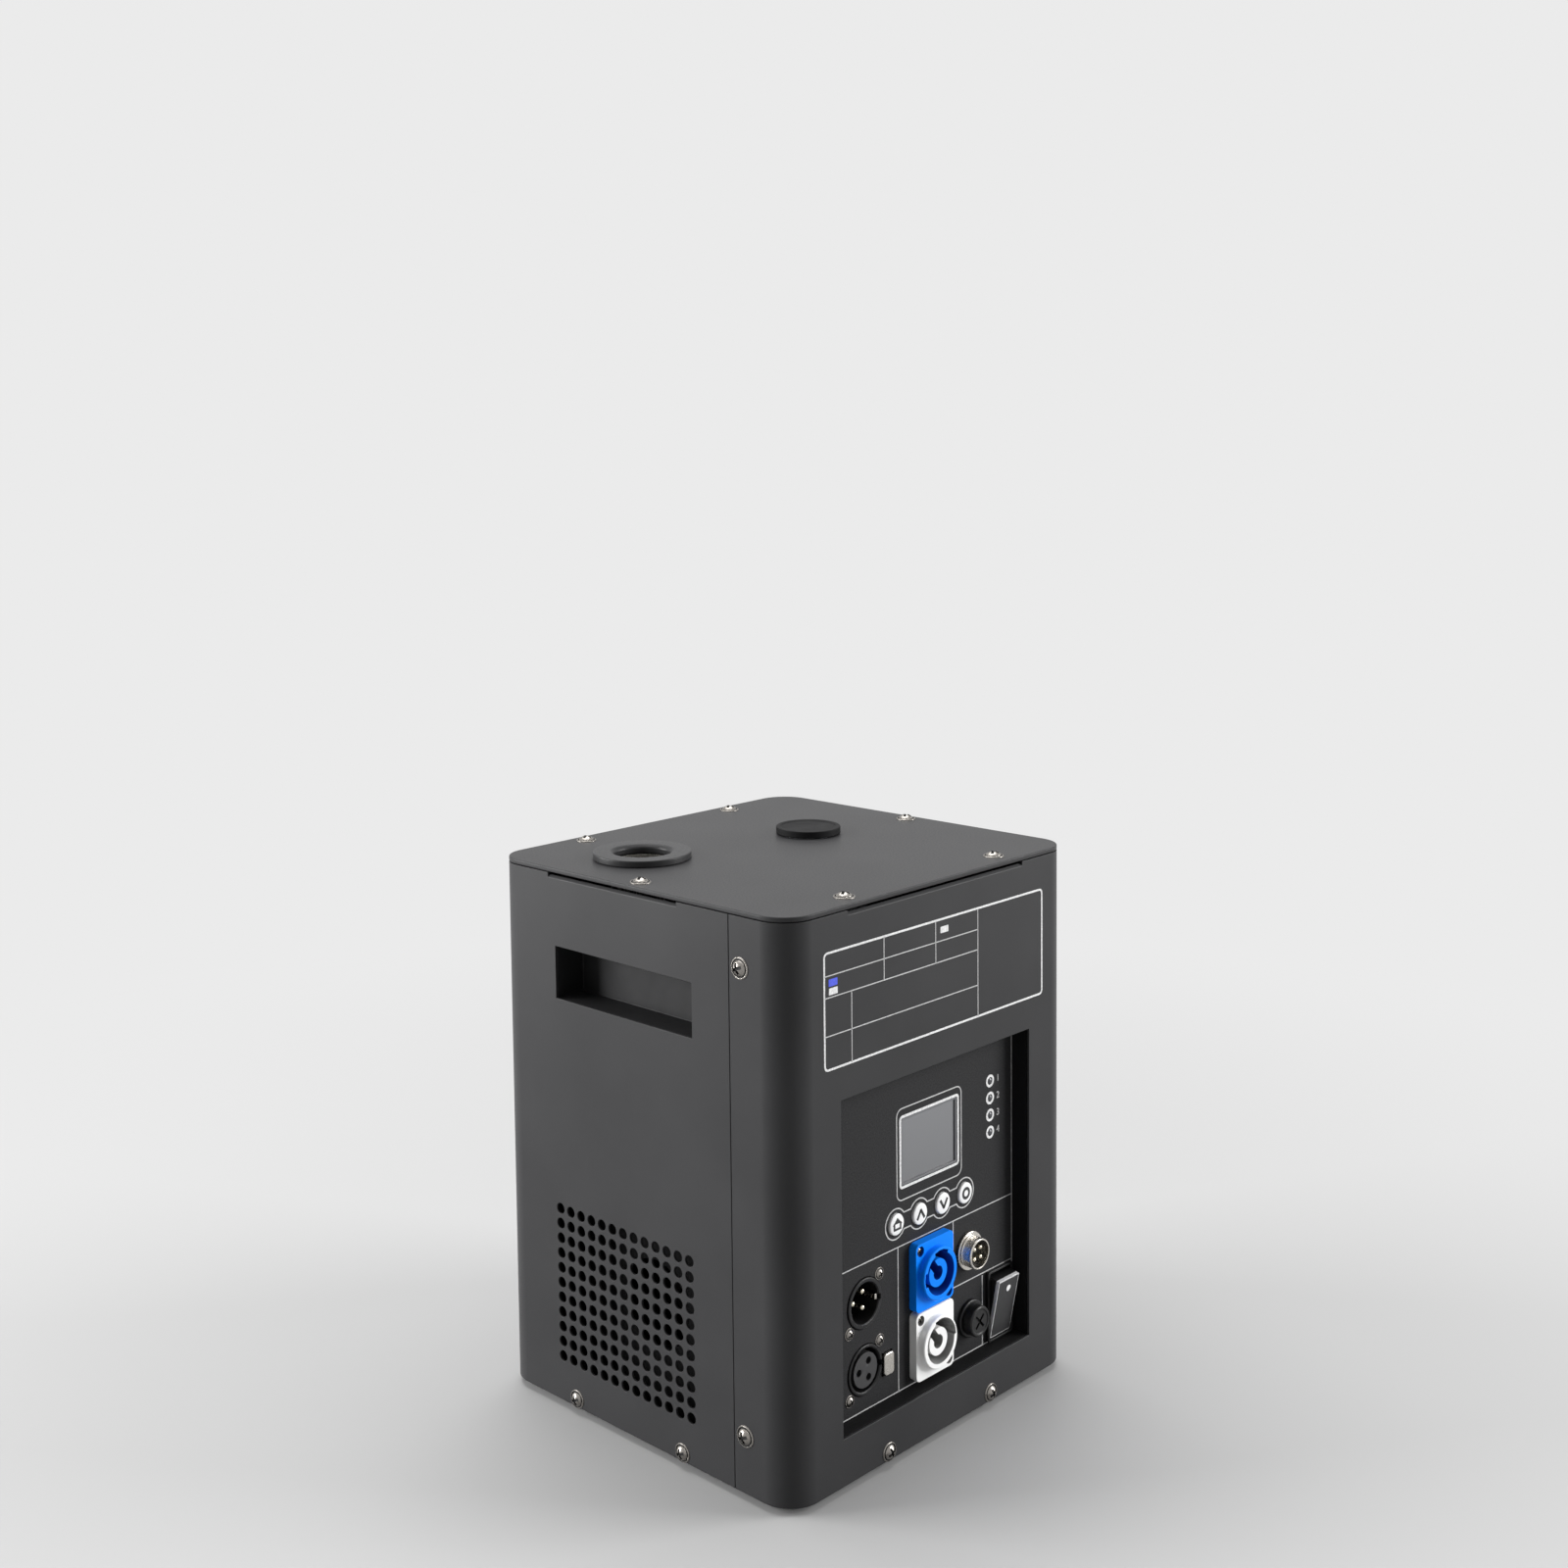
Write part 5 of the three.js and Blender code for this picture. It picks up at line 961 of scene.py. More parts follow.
@dataclass
class ControlPanel:
    """The sunken tray in the window, its film, and the marks printed on it.

    The fittings' centres, across and up, are given here, since the holes and the print share them.
    """

    face: float = -75.5
    half_width: float = 60.35
    bottom: float = 22.0
    top: float = 156.0
    wall: float = 1.2
    rim: float = 7.0
    flange: float = 8.0
    film: float = 0.12
    ink: float = 0.06
    rule: float = 0.22
    number: float = 4.2
    number_x: float = 48.6
    screen: Point = (3.6, 120.8)
    keys: tuple[Point, ...] = tuple((-18.4 + 14.9 * i, 92.5) for i in range(4))
    lamps: tuple[Point, ...] = tuple((44.2, 135.6 - 7.37 * i) for i in range(4))
    pin_socket: Point = (-37.9, 66.4)
    hole_socket: Point = (-37.9, 39.1)
    latch: Point = (-24.2, 37.2)
    inlet: Point = (1.9, 67.6)
    outlet: Point = (1.9, 38.7)
    remote: Point = (29.0, 67.0)
    fuse: Point = (29.5, 37.6)
    switch: Point = (49.3, 38.2)

    def at(self, x: float = 0.0, z: float = 0.0) -> Matrix:
        """Gives the frame of a fitting on the panel, z out of it."""
        return Facing.FRONT.at(x, self.face, z)

    def add_holes(self, cutter: Shape, low: float, high: float) -> None:
        """Adds the panel's holes, as the fittings need them."""
        rounds = [(10.5, self.pin_socket), (10.5, self.hole_socket), (10.6, self.inlet), (10.6, self.outlet)]
        rounds += [(6.1, self.remote), (6.5, self.fuse)]
        rounds += [(4.7, spot) for spot in self.keys] + [(1.6, spot) for spot in self.lamps]
        for radius, spot in rounds:
            cutter.rod(radius, low, high, 48, moved(*spot))
        slots = ((36.4, 28.0), self.screen), ((6.6, 9.8), self.latch), ((16.6, 30.6), self.switch)
        for size, spot in slots:
            cutter.slab(size, low, high, place=moved(*spot))

    def tray(self) -> None:
        """Builds the sunken tray."""
        width, height = 2 * self.half_width, self.top - self.bottom
        centre = moved(0, (self.bottom + self.top) / 2)
        shape = Shape()
        outer = (width + 2 * self.wall, height + 2 * self.wall)
        shape.slab(outer, -self.wall, self.rim, place=centre)
        rim = (width + 2 * self.flange, height + 2 * self.flange)
        shape.slab(rim, self.rim - self.wall, self.rim, 2.0, place=centre)
        cutter = Shape().slab((width, height), 0.0, self.rim + OVERRUN, place=centre)
        self.add_holes(cutter, -self.wall - OVERRUN, 0.5)
        piece = Piece("control_panel_tray", TRAY_COAT_AND_SHADE, self.at(), stands_for=("control_panel",))
        piece.make(shape, cutter, crossing=True)

    def cover_film(self) -> None:
        """Builds the film on the tray's floor."""
        shape = Shape().block((-60.0, 22.4, 0.0), (60.0, 155.7, self.film))
        cutter = Shape()
        self.add_holes(cutter, -OVERRUN, OVERRUN)
        Piece("panel_film", PANEL_FILM, self.at(), edge=0.0).make(shape, cutter, crossing=True)

    def lines(self) -> None:
        """Builds the ruled lines of the print."""
        low, high = self.film, self.film + self.ink
        shape = Shape()
        upright = ((59.2, 51.0, 155.4), (-17.0, 22.6, 82.5), (18.8, 70.0, 82.5), (38.5, 22.6, 53.0))
        for x, z0, z1 in upright:
            shape.block((x - self.rule, z0, low), (x + self.rule, z1, high))
        for z, x0, x1 in ((82.5, -60.0, 59.2), (53.9, 14.2, 59.2), (22.6, -60.0, 43.0)):
            shape.block((x0, z - self.rule, low), (x1, z + self.rule, high))
        Piece("panel_ruled_lines", FINE_INK, self.at(), edge=0.0).make(shape)

    def frames(self) -> None:
        """Builds the printed frames round the screen and the rings round the lamps."""
        low, high = self.film, self.film + self.ink
        thin = Shape().frame((42.3, 38.2), 0.5, 3.4, low, high).shift(moved(3.55, 120.0))
        bold = Shape().frame((38.6, 30.2), 1.1, 1.8, low, high).shift(moved(*self.screen))
        for spot in self.lamps:
            bold.ring((1.62, 2.7), low, high, 40, moved(*spot))
        Piece("screen_outer_frame_print", FINE_INK, self.at(), edge=0.0).make(thin)
        Piece("screen_frame_print", WHITE_INK, self.at(), edge=0.0).make(bold)

    def key_outline(self) -> None:
        """Builds the outline that runs round the four keys."""
        shape, cutter = Shape(), Shape()
        (first, z), (last, _) = self.keys[0], self.keys[-1]
        for made, radius, half, over in ((shape, 6.5, 3.7, 0.0), (cutter, 5.98, 3.18, 1.0)):
            low, high = self.film - over, self.film + self.ink + over
            for spot in self.keys:
                made.rod(radius, low, high, 64, moved(*spot))
            made.block((first, z - half, low), (last, z + half, high))
        Piece("key_outline_print", FINE_INK, self.at(), edge=0.0).make(shape, cutter, crossing=True)

    def numerals(self) -> None:
        """Builds the plain numbers beside the lamps."""
        objects = bpy.context.scene.collection.objects
        for i, (_, z) in enumerate(self.lamps):
            words = bpy.data.curves.new(f"lamp_number_{i + 1}", "FONT")
            words.body = str(i + 1)
            words.size = self.number
            words.extrude = self.ink / 2
            words.align_y = "CENTER"
            source = bpy.data.objects.new(f"lamp_number_{i + 1}", words)
            objects.link(source)
            graph = bpy.context.evaluated_depsgraph_get()
            data = bpy.data.meshes.new_from_object(source.evaluated_get(graph))
            bpy.data.objects.remove(source)
            made = bpy.data.objects.new(f"lamp_number_print_{i + 1}", data)
            objects.link(made)
            place = self.at() @ moved(self.number_x, z, self.film + self.ink / 2)
            data.transform(Matrix.Scale(MM, 4) @ place)
            Piece(made.name, FINE_INK, edge=0.0).dress(made)

    def build(self) -> None:
        """Builds the tray and its print."""
        self.tray()
        self.cover_film()
        self.lines()
        self.frames()
        self.key_outline()
        self.numerals()


@dataclass
class ScreenAndKeys:
    """The screen, its four keys and the four lamps."""

    panel: ControlPanel
    mark: Point = (1.15, 1.26)

    def screen(self) -> None:
        """Builds the screen with the moulding round it."""
        place = self.panel.at(*self.panel.screen)
        frame = Shape().slab((36.3, 27.9), -1.9, -0.1, 0.3)
        opening = Shape().slab((34.2, 26.0), -0.9, OVERRUN, 0.5)
        piece = Piece("screen_frame_moulding", SCREEN_BEZEL, place, stands_for=("lcd_module",), edge=0.1)
        piece.make(frame, opening)
        Piece("screen_pane", SCREEN_GLASS, place, edge=0.05).make(Shape().slab((34.1, 25.9), -1.0, -0.7))
        Piece("screen_case", SOFT_BLACK, place).make(Shape().slab((44.0, 35.6), -8.9, -1.5, 1.0))

    def glyph(self, name: str) -> tuple[Shape, Shape | None]:
        """Gives the mark on a key, on the key's own face, and what is cut out of it.

        Args:
            name: Which key: menu, up, down or enter.

        Returns:
            The mark's shape, and its cutter where it has one.
        """
        low, high = self.mark
        shape = Shape()
        if name == "enter":
            return shape.ring((1.35, 2.6), low, high, 40), None
        if name == "menu":
            shape.block((-2.4, -2.2, low), (2.4, 0.9, high))
            shape.rod(1.9, low, high, 3, moved(0, 1.0) @ Matrix.Diagonal((1.75, 1.0, 1.0, 1.0)))
            return shape, Shape().block((-1.45, -1.3, low - 1), (1.45, 0.5, high + 1))
        rise = 1 if name == "up" else -1
        for side in (-1, 1):
            shape.slab((4.6, 1.16), low, high, place=moved(side * 1.1) @ spun(-side * rise * 58))
        return shape, None

    def keys(self) -> None:
        """Builds the four keys."""
        outline = [(0.0, -4.1), (1.6, -4.1), (1.6, -2.8), (5.4, -2.8), (5.4, -1.5), (4.4, -1.5)]
        outline += [(4.4, 0.75), (4.1, 1.05), (3.4, 1.16), (0.0, 1.2)]
        for name, spot in zip(("menu", "up", "down", "enter"), self.panel.keys):
            place = self.panel.at(*spot)
            body, node = f"{name}_button", f"button_{name}"
            piece = Piece(f"{node}_key", KEY_WHITE, place, body, (node,), edge=0.12)
            piece.make(Shape().turned(outline, 56))
            mark, cutter = self.glyph(name)
            Piece(f"{node}_mark", GLYPH_BLACK, place, body, edge=0.0).make(mark, cutter, crossing=True)

    def lamps(self) -> None:
        """Builds the lamps and the block behind them."""
        lamps = self.panel.lamps
        lens = [(0.0, -2.1), (1.4, -2.1), *arc((0, -1.1), 1.78, 38, 90, 6)]
        shape = Shape()
        for spot in lamps:
            shape.turned(lens, 32, moved(*spot))
        middle = (lamps[0][1] + lamps[-1][1]) / 2
        shape.slab((4.4, 27.3), -8.9, -1.5, place=moved(lamps[0][0], middle))
        piece = Piece("lamp_lenses", LAMP_PLASTIC, self.panel.at(), stands_for=("lamp_block",), edge=0.0)
        piece.make(shape)

    def build(self) -> None:
        """Builds the screen, keys and lamps."""
        self.screen()
        self.keys()
        self.lamps()


@dataclass
class ControlLineSockets:
    """The round three-pin sockets, one with pins and one with holes and a latch."""

    panel: ControlPanel
    screws: Screws
    shell: float = 10.2
    depth: float = 14.0
    keyway: float = 1.2
    pin_circle: float = 3.9
    pin_turns: tuple[int, ...] = (60, 180, 300)
    screw: float = 0.66

    def ring(self, name: str, bore: float, spot: Point, node: str) -> None:
        """Builds a socket's shell, with its flange behind the panel."""
        outline = [(0.0, -22.0), (self.shell, -22.0), (self.shell, 0.5), (self.shell - 0.3, 0.8), (0.0, 0.8)]
        shape = Shape().turned(outline, 72).slab((24.0, 26.0), -3.5, -1.5, 1.0)
        hollow = [(0.0, -self.depth), (bore, -self.depth), (bore, 0.3), (bore + 0.7, 1.0), (0.0, 1.0)]
        cutter = Shape().turned(hollow, 72)
        cutter.block((0.0, -self.keyway, -13.0), (bore + 1.1, self.keyway, OVERRUN))
        piece = Piece(name, BLACK_PLASTIC, self.panel.at(*spot), stands_for=(node,), edge=0.25)
        piece.make(shape, cutter, crossing=True)

    def contacts(self) -> list[Matrix]:
        """Gives the places of the three contacts."""
        return [spun(turn) @ moved(self.pin_circle) for turn in self.pin_turns]

    def pins(self) -> None:
        """Builds the floor and the pins of the socket with pins."""
        place = self.panel.at(*self.panel.pin_socket)
        floor = Piece("pin_socket_floor", BLACK_PLASTIC, place, stands_for=("dmx_in_pins",))
        floor.make(Shape().rod(7.7, -13.7, -11.7, 64))
        outline = [(0.0, -13.0), (1.2, -13.0), *arc((0.2, -2.9), 1.0, 0, 90, 5), (0.0, -1.9)]
        pins = Shape()
        for contact in self.contacts():
            pins.turned(outline, 24, contact)
        Piece("socket_pins", PIN_NICKEL, place, edge=0.0).make(pins)
        clip = Shape().block((7.0, -1.1, -6.0), (8.4, 1.1, -0.3))
        Piece("socket_ground_clip", NICKEL, place).make(clip)

    def insert(self) -> None:
        """Builds the insert of the socket with holes, and its latch."""
        x, z = self.panel.hole_socket
        place = self.panel.at(x, z)
        core = [(0.0, -13.7), (8.7, -13.7), (8.7, -11.7), (7.1, -11.7), (7.1, 0.5), (0.0, 0.5)]
        # The sleeves are painted shade: near-black down in the three contact holes.
        shade_sleeve_outline = [(0.0, -7.1), (1.45, -7.1), (1.45, -0.9), (1.35, -0.9), (1.35, -6.9), (0.0, -6.9)]
        wells, shade_sleeves = Shape(), Shape()
        for contact in self.contacts():
            wells.rod(1.5, -7.2, OVERRUN, 28, contact)
            shade_sleeves.turned(shade_sleeve_outline, 28, contact)
        insert = Piece("contact_insert", INSERT_GREY, place, stands_for=("dmx_out_insert",))
        insert.make(Shape().turned(core, 64), wells)
        Piece("contact_hole_shade_sleeves", CONTACT_HOLE_SHADE, place, edge=0.0).make(shade_sleeves)
        beside = moved(self.panel.latch[0] - x, self.panel.latch[1] - z)
        latch = Piece("latch_tab", NICKEL, place, "latch", ("dmx_out_latch",), edge=0.5, segments=3)
        latch.make(Shape().slab((6.0, 9.2), -10.0, 1.6, 1.6, place=beside))

    def fixings(self) -> None:
        """Builds the small screws beside the sockets."""
        for (x, z), word in ((self.panel.pin_socket, "upper"), (self.panel.hole_socket, "lower")):
            for i, (dx, dz) in enumerate(((9.2, 9.1), (-9.2, -9.7))):
                place = self.panel.at(x + dx, z + dz) @ moved(z=0.15)
                self.screws.head(f"socket_screw_{word}_{i + 1}", place, scale=self.screw)

    def build(self) -> None:
        """Builds both sockets."""
        self.ring("pin_socket_shell", 8.2, self.panel.pin_socket, "dmx_in_socket")
        self.ring("hole_socket_shell", 8.7, self.panel.hole_socket, "dmx_out_socket")
        self.pins()
        self.insert()
        self.fixings()


@dataclass
class MainsSockets:
    """The blue inlet and the white outlet, with their keyed rings."""

    panel: ControlPanel
    screws: Screws
    flange: Point = (24.2, 28.4)
    flange_proud: float = 4.0
    stem: float = 10.3
    collar: float = 10.9
    proud: float = 7.0
    mouth: float = 8.7
    keyway: float = 1.9
    core: float = 5.8
    core_hole: float = 2.9
    core_slot: float = 1.8
    slot_turn: float = 128.0
    screw: float = 0.54
    screw_spot: Point = (9.1, 11.1)

    def socket(self, name: str, spot: Point, node: str, tones: tuple[Finish, Finish], keys: tuple) -> None:
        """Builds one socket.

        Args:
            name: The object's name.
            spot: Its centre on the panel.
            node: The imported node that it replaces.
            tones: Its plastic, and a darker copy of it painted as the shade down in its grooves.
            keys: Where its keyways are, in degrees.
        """
        place = self.panel.at(*spot)
        finish, groove = tones
        outline = [(0.0, -24.0), (self.stem, -24.0), (self.stem, 1.0), (self.collar, 1.0)]
        outline += [(self.collar, self.proud - 0.4), (self.collar - 0.4, self.proud), (0.0, self.proud)]
        shape = Shape().slab(self.flange, 0.3, self.flange_proud, 2.4, 8).turned(outline, 80)
        cutter = Shape().rod(self.mouth, -10.0, self.proud + OVERRUN, 72)
        for turn in keys:
            low = (self.core + 0.4, -self.keyway, -10.0)
            cutter.block(low, (self.mouth + 1.1, self.keyway, self.proud + OVERRUN), spun(turn))
        x, z = self.screw_spot
        corners = (moved(-x, z), moved(x, -z))
        for corner in reversed(corners):
            cutter.rod(2.1, 2.6, 6.0, 32, corner)
        # The faces that the cutters leave, in the grooves, keyways, screw pockets and the core's hole, take
        # the darker painted shade.
        looks = {"edge": 0.3, "segments": 3, "inside": groove}
        Piece(name, finish, place, stands_for=(node,), **looks).make(shape, cutter, crossing=True)
        core = Shape().rod(self.core, -10.2, 5.6, 64)
        hollow = Shape().rod(self.core_hole, -4.0, self.proud, 40)
        end = (self.core + 0.6, self.core_slot, self.proud)
        hollow.block((0.0, -self.core_slot, -4.0), end, spun(self.slot_turn))
        Piece(f"{name}_core", finish, place, **looks).make(core, hollow, crossing=True)
        for i, corner in enumerate(corners):
            seat = place @ corner @ moved(z=2.5)
            self.screws.head(f"{name}_screw_{i + 1}", seat, scale=self.screw)

    def build(self) -> None:
        """Builds both sockets."""
        blue, white = (BLUE_PLASTIC, BLUE_GROOVE_SHADE), (WHITE_PLASTIC, WHITE_GROOVE_SHADE)
        self.socket("mains_inlet", self.panel.inlet, "power_in_socket", blue, (72, 86, 100, 176, 188))
        self.socket("mains_outlet", self.panel.outlet, "power_out_socket", white, tuple(range(15, 100, 12)))


@dataclass
class SmallFittings:
    """The screw-ring socket, and the fuse in its holder."""

    panel: ControlPanel
    threads: int = 9
    pitch: float = 0.38

    def remote(self) -> None:
        """Builds the threaded four-pin socket."""
        place = self.panel.at(*self.panel.remote)
        outline = [(0.0, -14.0), (5.8, -14.0), (5.8, 0.3), (8.2, 0.3), (8.2, 1.3), (7.9, 1.6), (6.5, 1.6)]
        outline += [(6.2, 2.0)]
        for i in range(self.threads):
            z = 2.3 + self.pitch * i
            outline += [(6.42, z), (6.5, z + self.pitch / 2)]
        outline += [(6.55, 6.0), (6.3, 6.4), (5.7, 6.4), (5.7, 0.3), (5.0, 0.3), (5.0, -10.0), (0.0, -10.0)]
        barrel = Piece("remote_barrel", NICKEL, place, stands_for=("remote_socket",), edge=0.08)
        barrel.make(Shape().turned(outline, 72))
        core = [(0.0, -9.7), (4.9, -9.7), (4.9, 0.4), (5.6, 0.4), (5.6, 2.4), (0.0, 2.4)]
        insert = Piece("remote_core", BLACK_PLASTIC, place, stands_for=("remote_insert",))
        insert.make(Shape().turned(core, 48))
        pin = [(0.0, 1.8), (0.95, 1.8), *arc((0.15, 4.7), 0.8, 0, 90, 4), (0.0, 5.5)]
        pins = Shape()
        for turn in (45, 135, 225, 315):
            pins.turned(pin, 20, spun(turn) @ moved(2.9))
        Piece("remote_pins", PIN_NICKEL, place, edge=0.0).make(pins)

    def fuse(self) -> None:
        """Builds the fuse holder, its cap and the fuse."""
        place = self.panel.at(*self.panel.fuse)
        body = "fuse_carrier"
        holder = [(0.0, -34.0), (6.2, -34.0), (6.2, 0.3), (8.0, 0.3), (8.0, 1.5), (7.6, 1.8), (4.5, 1.8)]
        holder += [(4.5, -28.0), (0.0, -28.0)]
        piece = Piece("fuse_holder_shell", BLACK_PLASTIC, place, stands_for=("fuse_holder",))
        piece.make(Shape().turned(holder, 64))
        cap = [(0.0, -0.9), (2.8, -0.9), (2.8, -5.9), (4.1, -5.9), (4.1, 2.1), (6.5, 2.1), (6.5, 5.6)]
        cap += [(6.0, 6.1), (5.2, 6.1), (4.9, 5.75), (0.0, 5.75)]
        cross = Shape()
        for turn in (45, 135):
            cross.slab((7.2, 1.1), 4.5, 8.0, place=spun(turn))
        piece = Piece("fuse_cap_moulding", BLACK_PLASTIC, place, body, ("fuse_cap",))
        piece.make(Shape().turned(cap, 64), cross, crossing=True)
        glass = Shape().turned([(0.0, -20.9), (2.45, -20.9), (2.45, -1.2), (0.0, -1.2)], 32)
        Piece("fuse_glass_tube", FUSE_GLASS, place, body, ("fuse",), edge=0.0).make(glass)
        tips = Shape()
        for end, mouth, skin in ((-1.5, -5.0, -0.05), (-20.9, -16.0, 0.05)):
            inner = [(2.46, mouth), (2.46, end + skin), (0.0, end + skin)]
            tips.turned([(0.0, end), (2.5, end), (2.5, mouth), *inner], 32)
        Piece("fuse_end_caps", NICKEL, place, body, edge=0.0).make(tips)

    def build(self) -> None:
        """Builds the small round fittings."""
        self.remote()
        self.fuse()


@dataclass
class MainsSwitch:
    """The rocker switch in its bezel."""

    panel: ControlPanel
    width: float = 13.9
    tilt: float = 11.0
    reach: float = 13.2
    face: float = 5.0
    plate: float = 1.7
    skin: float = 0.12
    line: float = 0.9
    slope: float = -28.5

    def housing(self) -> None:
        """Builds the bezel and the cradle behind it."""
        shape = Shape().slab((17.2, 30.8), 0.3, 1.8, 1.2).slab((16.0, 30.0), -24.0, 1.0, 0.6)
        cutter = Shape().slab((self.width + 0.6, 28.8), -12.0, OVERRUN + 1.8, 0.5)
        place = self.panel.at(*self.panel.switch)
        looks = {"edge": 0.35, "segments": 3}
        piece = Piece("switch_bezel", BLACK_PLASTIC, place, stands_for=("switch_housing",), **looks)
        piece.make(shape, cutter, crossing=True)

    def paddle(self) -> None:
        """Builds the paddle, tilted as it rests, with its face and the dot on it."""
        half, reach, low = self.width / 2, self.reach, self.face - self.plate
        place = self.panel.at(*self.panel.switch) @ moved(z=-1.0) @ spun(self.tilt, "X")
        shape = Shape().block((-half, -reach, -4.5), (half, reach, low))
        cutter = Shape()
        for side in (-1, 1):
            slope = moved(0, side * 13.3) @ spun(side * self.slope, "X")
            near, far = sorted((0.0, side * 20.0))
            cutter.block((-half - 1, near, -20.0), (half + 1, far, 0.0), slope)
        piece = Piece("rocker_paddle", BLACK_PLASTIC, place, "rocker", ("power_rocker",), edge=0.2)
        piece.make(shape, cutter)
        # Painted highlight: a pale rim round the rocker's face stands for the light caught along its edges.
        rim = Shape().slab((self.width, 2 * reach), low, self.face - self.skin, 0.3, 3)
        Piece("rocker_rim_painted_highlight", ROCKER_EDGE_HIGHLIGHT, place, "rocker", edge=0.1).make(rim)
        skin = Shape().slab((self.width - self.line, 2 * reach - self.line), low, self.face, 0.3, 3)
        Piece("rocker_face", GREY_PLASTIC, place, "rocker", edge=0.1).make(skin)
        outline = [(0.0, -0.1), (1.5, -0.1), (1.4, 0.06), (0.0, 0.1)]
        dot = Shape().turned(outline, 36, moved(0.4, 8.4, self.face))
        Piece("rocker_dot", KEY_WHITE, place, "rocker", edge=0.0).make(dot)

    def build(self) -> None:
        """Builds the switch."""
        self.housing()
        self.paddle()


@dataclass
class CasePrint:
    """The ruled table printed on the front cover, its cells left plain."""

    case: Case
    ink: float = 0.08
    rule: float = 0.2
    size: Point = (139.6, 45.8)
    centre: Point = (0.0, 192.0)

    def build(self) -> None:
        """Builds the frame, the ruled lines and three plain boxes."""
        place = Facing.FRONT.at(0, -self.case.depth / 2, 0)
        bold = Shape().frame(self.size, 0.85, 2.2, 0.0, self.ink).shift(moved(*self.centre))
        Piece("table_frame_print", WHITE_INK, place, edge=0.0).make(bold)
        shape = Shape()
        upright = ((-34.5, 197.3, 214.5), (-2.5, 197.3, 214.5), (25.0, 169.5, 214.5), (-53.8, 169.5, 197.3))
        for x, z0, z1 in upright:
            shape.block((x - self.rule, z0, 0.0), (x + self.rule, z1, self.ink))
        for z in (205.7, 197.3, 182.5):
            shape.block((-69.4, z - self.rule, 0.0), (25.0, z + self.rule, self.ink))
        Piece("table_lines_print", FINE_INK, place, edge=0.0).make(shape)
        white = Shape()
        for spot in ((-64.3, 199.5), (3.1, 210.1)):
            white.slab((5.0, 2.6), 0.0, self.ink, 0.3, 3, moved(*spot))
        Piece("plain_boxes_print", WHITE_INK, place, edge=0.0).make(white)
        blue = Shape().slab((5.0, 2.8), 0.0, self.ink, 0.3, 3, moved(-64.4, 202.9))
        Piece("blue_box_print", BLUE_INK, place, edge=0.0).make(blue)


class InnerParts:
    """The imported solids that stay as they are, each with its own finish."""

    finishes: dict[Finish, tuple[str, ...]] = {
        TRAY_COAT_AND_SHADE: ("base_plate", "inner_frame"),
        INNER_SHADE_BLACK: ("blower_housing", "blower_wheel", "cooling_fan_frame", "cooling_fan_rotor"),
        ALUMINIUM: ("power_supply", "air_adapter", "feeder_block"),
        BOARD: ("control_board", "display_board"),
        CERAMIC: ("heater_band",),
        ZINC_STEEL: ("hopper_funnel", "hopper", "feed_auger", "feed_motor"),
        STAINLESS: ("feed_tube",),
    }

    def build(self, nodes: dict[str, Object]) -> None:
        """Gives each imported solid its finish, and a plain one to any that a piece replaces."""
        own = {name: finish for finish, names in self.finishes.items() for name in names}
        for name, node in nodes.items():
            material = own.get(name, CASE_COAT).material()
            if not node.data.materials:
                node.data.materials.append(material)
            for i in range(len(node.data.materials)):
                node.data.materials[i] = material


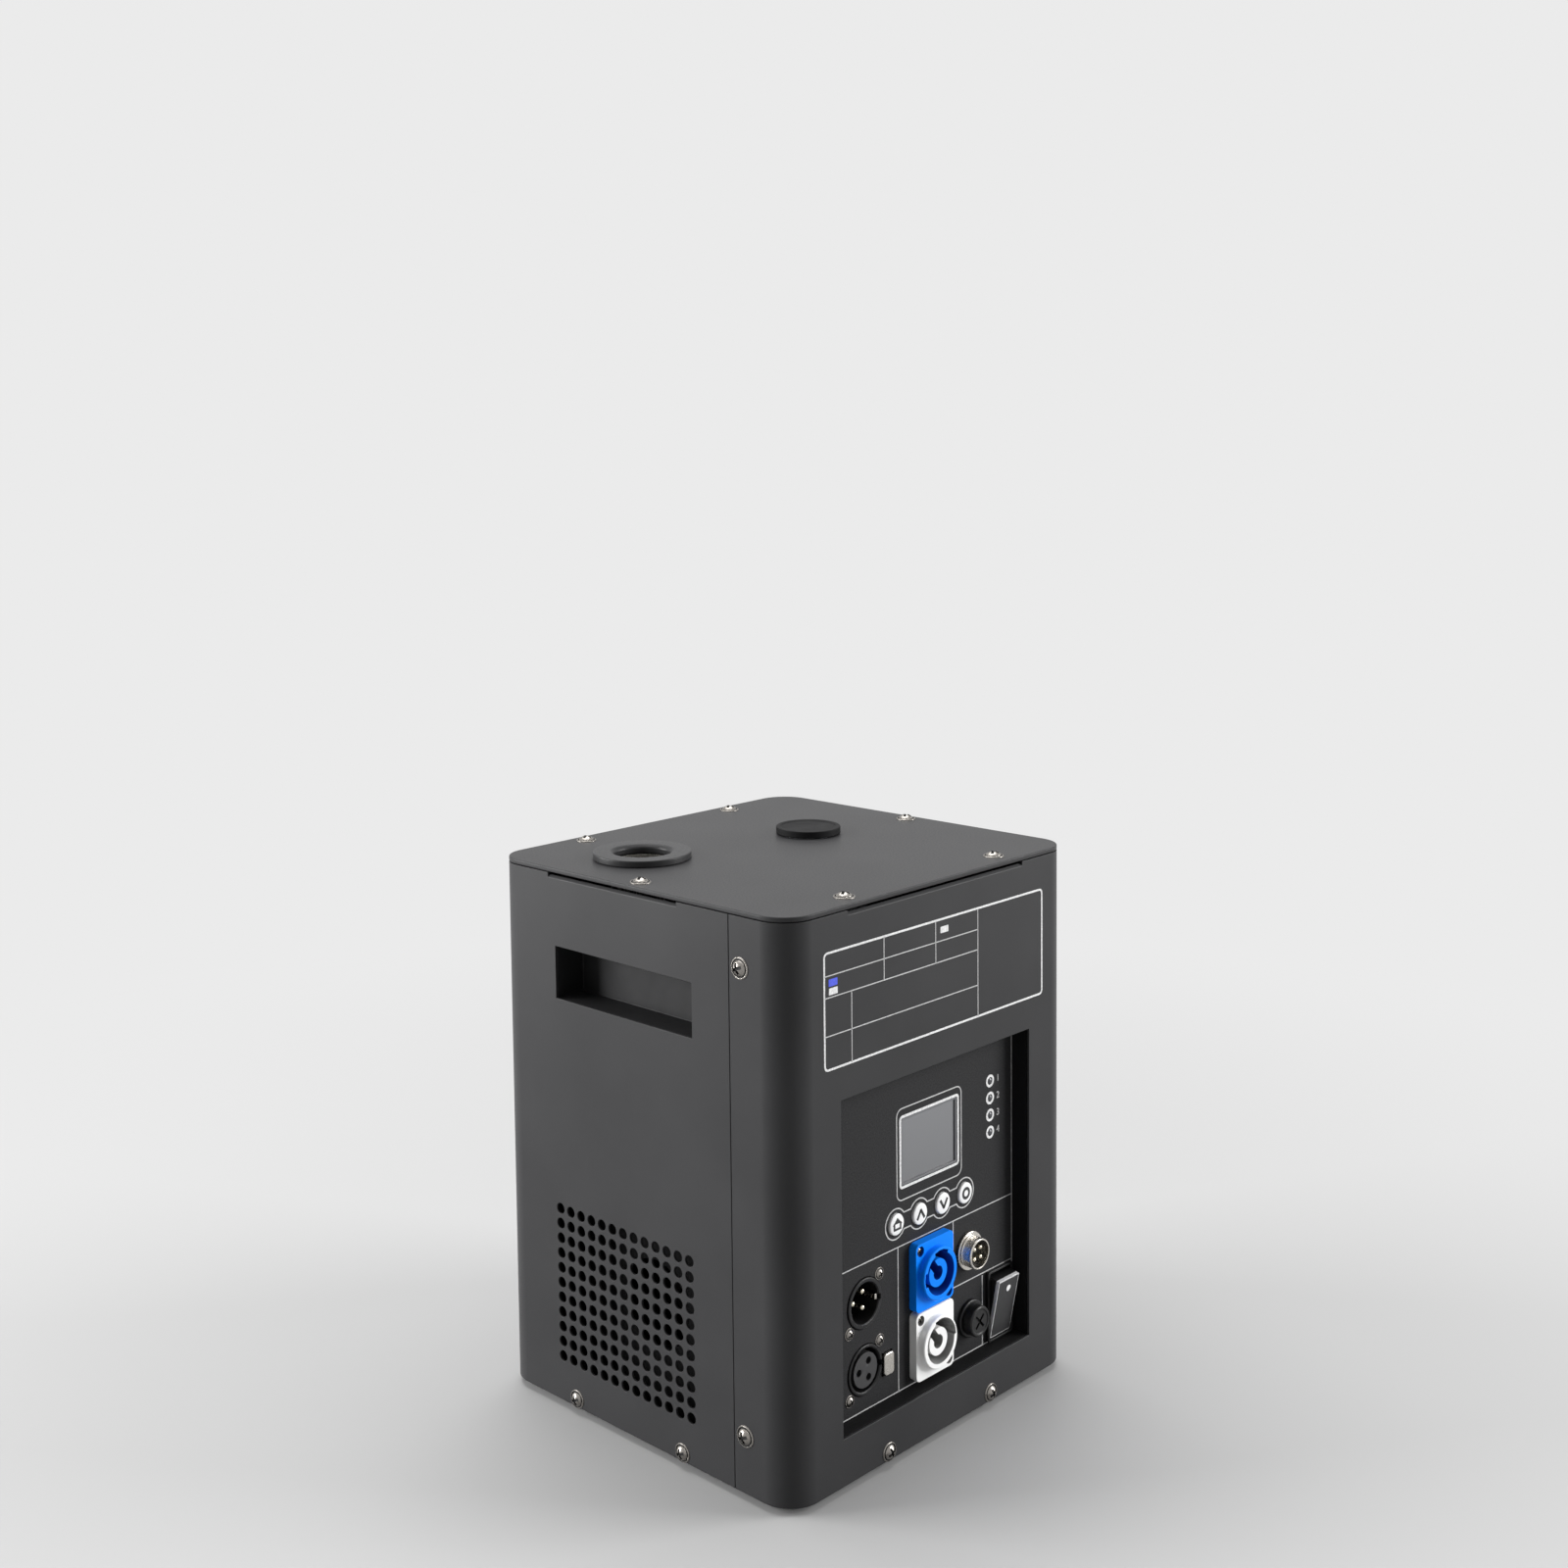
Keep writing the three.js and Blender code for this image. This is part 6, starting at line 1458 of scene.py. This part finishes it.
@dataclass
class Studio:
    """The pale floor, the soft lamps and the camera."""

    lens: float = 45.642
    shift: Point = (0.05, -0.13)
    eye: tuple[float, float, float] = (-615.476, -570.102, 415.446)
    yaw: float = 0.78548
    pitch: float = 0.0818
    roll: float = -0.01353
    backdrop: str = "ebebeb"
    paint: tuple[str, str] = ("a6a6a6", "acacac")
    fade: Point = (0.2, 0.75)
    surroundings: float = 0.15

    def seen(self, graph: Graph) -> Socket:
        """Gives a share that is one for what the camera sees, also in metal and through glass."""
        path = graph.add("LightPath").outputs
        rays = {0: path["Is Glossy Ray"], 1: path["Is Transmission Ray"]}
        mirrored = graph.add("Math", rays, operation="MAXIMUM").outputs[0]
        return graph.add("Math", {0: path["Is Camera Ray"], 1: mirrored}, operation="MAXIMUM").outputs[0]

    def floor(self) -> None:
        """Makes the floor, which fades into the backdrop away from the object."""
        made = Shape().block((-4000, -4000, -20), (4000, 4000, 0)).object("floor")
        made.data.transform(Matrix.Scale(MM, 4))
        material = bpy.data.materials.new("pale_floor_paint")
        graph = Graph(material)
        coords = graph.add("TexCoord").outputs["Object"]
        cloud = graph.add("TexNoise", {"Vector": coords, "Scale": 1.5}).outputs["Fac"]
        tone = graph.mix(cloud, *self.paint)
        paint = graph.add("BsdfPrincipled", {"Base Color": tone, "Roughness": 0.7}).outputs["BSDF"]
        pale = graph.add("Emission", {"Color": linear(self.backdrop), "Strength": 1.0}).outputs["Emission"]
        away = graph.add("VectorMath", {"Vector": coords}, operation="LENGTH").outputs["Value"]
        near, far = self.fade
        settings = {"Value": away, "From Min": near, "From Max": far}
        faded = graph.add("MapRange", settings, interpolation_type="SMOOTHSTEP").outputs["Result"]
        share = graph.add("Math", {0: faded, 1: self.seen(graph)}, operation="MULTIPLY").outputs[0]
        mixed = graph.add("MixShader", {0: share, 1: paint, 2: pale}).outputs[0]
        graph.add("OutputMaterial", {"Surface": mixed})
        made.data.materials.append(material)

    def lamp(self, name: str, size: Point, power: float, spot: tuple, aim: float) -> None:
        """Adds a soft lamp.

        Args:
            name: The lamp's name.
            size: Its width and height in metres.
            power: Its power in watts.
            spot: Where it is, in metres.
            aim: Height above the floor's centre that it faces, in metres.
        """
        data = bpy.data.lights.new(name, "AREA")
        data.shape = "RECTANGLE"
        data.size, data.size_y = size
        data.energy = power
        made = bpy.data.objects.new(name, data)
        made.location = spot
        made.visible_camera = False
        made.rotation_euler = (Vector((0, 0, aim)) - Vector(spot)).to_track_quat("-Z", "Y").to_euler()
        bpy.context.scene.collection.objects.link(made)

    def world(self) -> None:
        """Makes the surroundings, plain grey to the object and pale to the camera."""
        world = bpy.data.worlds.new("studio")
        graph = Graph(world)
        dim = graph.add("Background", {"Color": linear("ffffff"), "Strength": self.surroundings}).outputs[0]
        pale = graph.add("Background", {"Color": linear(self.backdrop), "Strength": 1.0}).outputs[0]
        mixed = graph.add("MixShader", {0: self.seen(graph), 1: dim, 2: pale}).outputs[0]
        graph.add("OutputWorld", {"Surface": mixed})
        bpy.context.scene.world = world

    def camera(self) -> None:
        """Sets the camera at the photograph's viewing angle."""
        data = bpy.data.cameras.new("camera")
        data.lens = self.lens
        data.sensor_width = 36.0
        data.shift_x, data.shift_y = self.shift
        made = bpy.data.objects.new("camera", data)
        turn = Matrix.Rotation(-self.yaw, 4, "Z") @ Matrix.Rotation(math.pi / 2 - self.pitch, 4, "X")
        turn = turn @ Matrix.Rotation(self.roll, 4, "Z")
        made.matrix_world = Matrix.Translation([v * MM for v in self.eye]) @ turn
        bpy.context.scene.collection.objects.link(made)
        bpy.context.scene.camera = made

    def build(self) -> None:
        """Sets up the whole studio."""
        self.floor()
        self.world()
        self.camera()
        self.lamp("top_lamp", (1.6, 1.6), 35.0, (0.2, 0.4, 1.7), 0.1)
        self.lamp("left_lamp", (1.0, 1.2), 67.0, (-1.3, 1.3, 0.45), 0.12)
        self.lamp("front_lamp", (0.9, 1.2), 45.0, (1.3, -1.3, 0.7), 0.12)
        bpy.context.scene.view_settings.view_transform = "Standard"


def main() -> None:
    """Loads the frame, builds each sub-assembly over it and sets up the studio."""
    logging.basicConfig(level=logging.INFO, format="%(message)s")
    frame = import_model()
    case = Case()
    screws = Screws(case)
    panel = ControlPanel()
    InnerParts().build(frame["nodes"])
    case.build()
    screws.build()
    TopFittings(case).build()
    panel.build()
    ScreenAndKeys(panel).build()
    ControlLineSockets(panel, screws).build()
    MainsSockets(panel, screws).build()
    SmallFittings(panel).build()
    MainsSwitch(panel).build()
    CasePrint(case).build()
    Studio().build()


if __name__ == "__main__":
    main()
